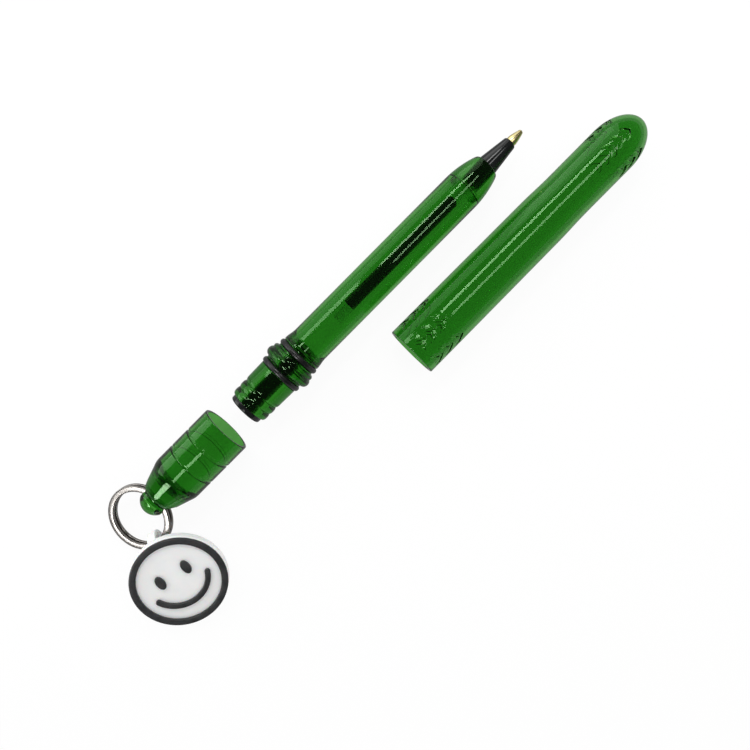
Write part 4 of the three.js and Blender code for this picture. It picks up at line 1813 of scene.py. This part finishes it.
@dataclass(frozen=True)
class Lamp:
    """A soft rectangular lamp. Places and sizes are millimetres.

    Its size is that of its level side and of its other one, or the other way round where it shines
    mostly along the pen. Its level is how bright its face is, where 1 is white. A lamp that doesn't
    light matt surfaces is only mirrored.
    """

    name: str
    at: Triple
    towards: Triple
    size: Pair
    level: float
    lights: bool = True

    def add(self) -> None:
        """Adds the lamp, hidden from the camera and from rays that come through clear pieces."""
        length, width = (v * METRES for v in self.size)
        light = bpy.data.lights.new(self.name, "AREA")
        light.shape = "RECTANGLE"
        light.size, light.size_y = length, width
        light.energy = self.level * math.pi * length * width
        lamp = bpy.data.objects.new(self.name, light)
        at = Vector(self.at)
        way = (Vector(self.towards) - at).normalized()
        turn = way.to_track_quat("-Z", "Y" if abs(way.x) < 0.5 else "X").to_matrix().to_4x4()
        lamp.matrix_world = Matrix.Translation(at * METRES) @ turn
        lamp.visible_camera = False
        lamp.visible_transmission = False
        lamp.visible_diffuse = self.lights
        bpy.context.scene.collection.objects.link(lamp)


# Two narrow lamps overhead, four broad ones on the far side and two behind.
LAMPS = (
    Lamp("strip_far", (168.0, 156.0, 300.0), (168.0, 0.0, 6.0), (224.0, 54.0), 8.0),
    Lamp("strip_near", (170.0, -49.0, 300.0), (170.0, 0.0, 6.0), (220.0, 46.0), 5.0),
    Lamp("broad_middle", (-3.0, 222.0, 222.0), (-5.0, 10.0, 10.0), (76.0, 104.0), 4.4),
    Lamp("broad_tail", (-82.0, 90.0, 40.0), (-55.0, 9.0, 12.0), (70.0, 62.0), 1.3),
    Lamp("broad_nose", (120.0, 100.0, 62.0), (58.0, 9.0, 6.0), (100.0, 90.0), 0.8),
    Lamp("broad_far", (0.0, 330.0, 110.0), (0.0, 0.0, 20.0), (620.0, 210.0), 0.8),
    Lamp("behind", (-251.0, 26.0, 158.0), (-54.0, 10.0, 8.0), (64.0, 84.0), 13.0, False),
    Lamp("behind_high", (-132.0, -4.0, 300.0), (10.0, -8.0, 8.0), (60.0, 36.0), 7.0, False),
)


@dataclass
class Studio:
    """The pale table, the soft lights and the camera above the pen. Places are millimetres."""

    floor_half: float = 1500.0
    floor_colour: str = "#F7F7F7"
    floor_seen: float = 0.93
    floor_glow: float = 0.92
    floor_mirrored: float = 0.35
    floor_through: float = 0.53
    around: float = 0.72
    overhead: float = 0.07
    beside_through: float = 0.85
    overhead_through: float = 0.12
    horizon: float = 0.6
    mirror_top: float = 0.16
    through_heights: Pair = (0.1, 0.6)
    floor_drop: float = 0.02
    camera_at: Triple = (-3.71, -5.56, 164.3)
    camera_turn: float = -45.25
    lens: float = 33.6
    sensor: float = 36.0

    def floor(self) -> Object:
        """Makes the table's top, which shows white where it is seen and keeps a faint shadow.

        Returns:
            The floor.
        """
        shape = bmesh.new()
        side = self.floor_half
        corners = [(-side, -side, 0.0), (side, -side, 0.0), (side, side, 0.0), (-side, side, 0.0)]
        shape.faces.new([shape.verts.new(corner) for corner in corners])
        floor = as_object("table_top", shape, put(0.0, 0.0, -self.floor_drop * METRES))
        material = bpy.data.materials.new("white_paper_sweep")
        tree = emptied(material)
        paper = add_node(tree, "ShaderNodeBsdfDiffuse", {}, {"Color": linear(self.floor_colour)})
        shown = by_ray(tree, 0.0, self.floor_glow, self.floor_glow, self.floor_seen)
        strength = by_ray(tree, 1.0, self.floor_mirrored, self.floor_through, 1.0)
        white = add_node(tree, "ShaderNodeEmission", {}, {"Color": WHITE, "Strength": strength})
        both = {0: shown, 1: paper.outputs[0], 2: white.outputs[0]}
        mixed = add_node(tree, "ShaderNodeMixShader", {}, both)
        add_node(tree, "ShaderNodeOutputMaterial", {}, {"Surface": mixed.outputs[0]})
        floor.data.materials.append(material)
        return floor

    def surround(self) -> None:
        """Makes the world, white where it is seen, and darker overhead for mirrored and clear light."""
        world = bpy.data.worlds.new("studio_surround")
        bpy.context.scene.world = world
        tree = emptied(world)
        way = add_node(tree, "ShaderNodeTexCoord").outputs["Generated"]
        height = add_node(tree, "ShaderNodeSeparateXYZ", {}, {0: way}).outputs[2]
        ends = {"Value": height, "From Min": 0.0, "From Max": self.mirror_top}
        ends |= {"To Min": self.horizon, "To Max": self.overhead}
        mirrored = add_node(tree, "ShaderNodeMapRange", {"interpolation_type": "SMOOTHSTEP"}, ends)
        low, high = self.through_heights
        ends = {"Value": height, "From Min": low, "From Max": high}
        ends |= {"To Min": self.beside_through, "To Max": self.overhead_through}
        through = add_node(tree, "ShaderNodeMapRange", {"interpolation_type": "SMOOTHSTEP"}, ends)
        level = by_ray(tree, self.around, mirrored.outputs[0], through.outputs[0], 1.0)
        back = add_node(tree, "ShaderNodeBackground", {}, {"Color": WHITE, "Strength": level})
        add_node(tree, "ShaderNodeOutputWorld", {}, {"Surface": back.outputs[0]})

    def camera(self) -> None:
        """Adds the camera, straight above the pen."""
        data = bpy.data.cameras.new("camera")
        data.lens, data.sensor_width = self.lens, self.sensor
        data.clip_start = 0.001
        data.dof.use_dof = False
        camera = bpy.data.objects.new("camera", data)
        camera.location = Vector(self.camera_at) * METRES
        camera.rotation_euler = (0.0, 0.0, math.radians(self.camera_turn))
        bpy.context.scene.collection.objects.link(camera)
        bpy.context.scene.camera = camera

    def build(self) -> None:
        """Builds the stage, the light and the camera."""
        bpy.context.scene.view_settings.view_transform = "Standard"
        self.floor()
        self.surround()
        for lamp in LAMPS:
            lamp.add()
        self.camera()


def main() -> None:
    """Builds the stage and every sub-assembly, and reports each piece."""
    logging.basicConfig(level=logging.INFO, format="%(name)s: %(message)s")
    Studio().build()
    ring = SplitRing()
    for part in (Barrel(), Refill(), LongCap(), EndCap(), ring, Charm(ring)):
        for piece in part.build():
            mesh = piece.data
            mesh.calc_loop_triangles()
            log.info("%s: %s with %d triangles", type(part).__name__, piece.name, len(mesh.loop_triangles))


if __name__ == "__main__":
    main()
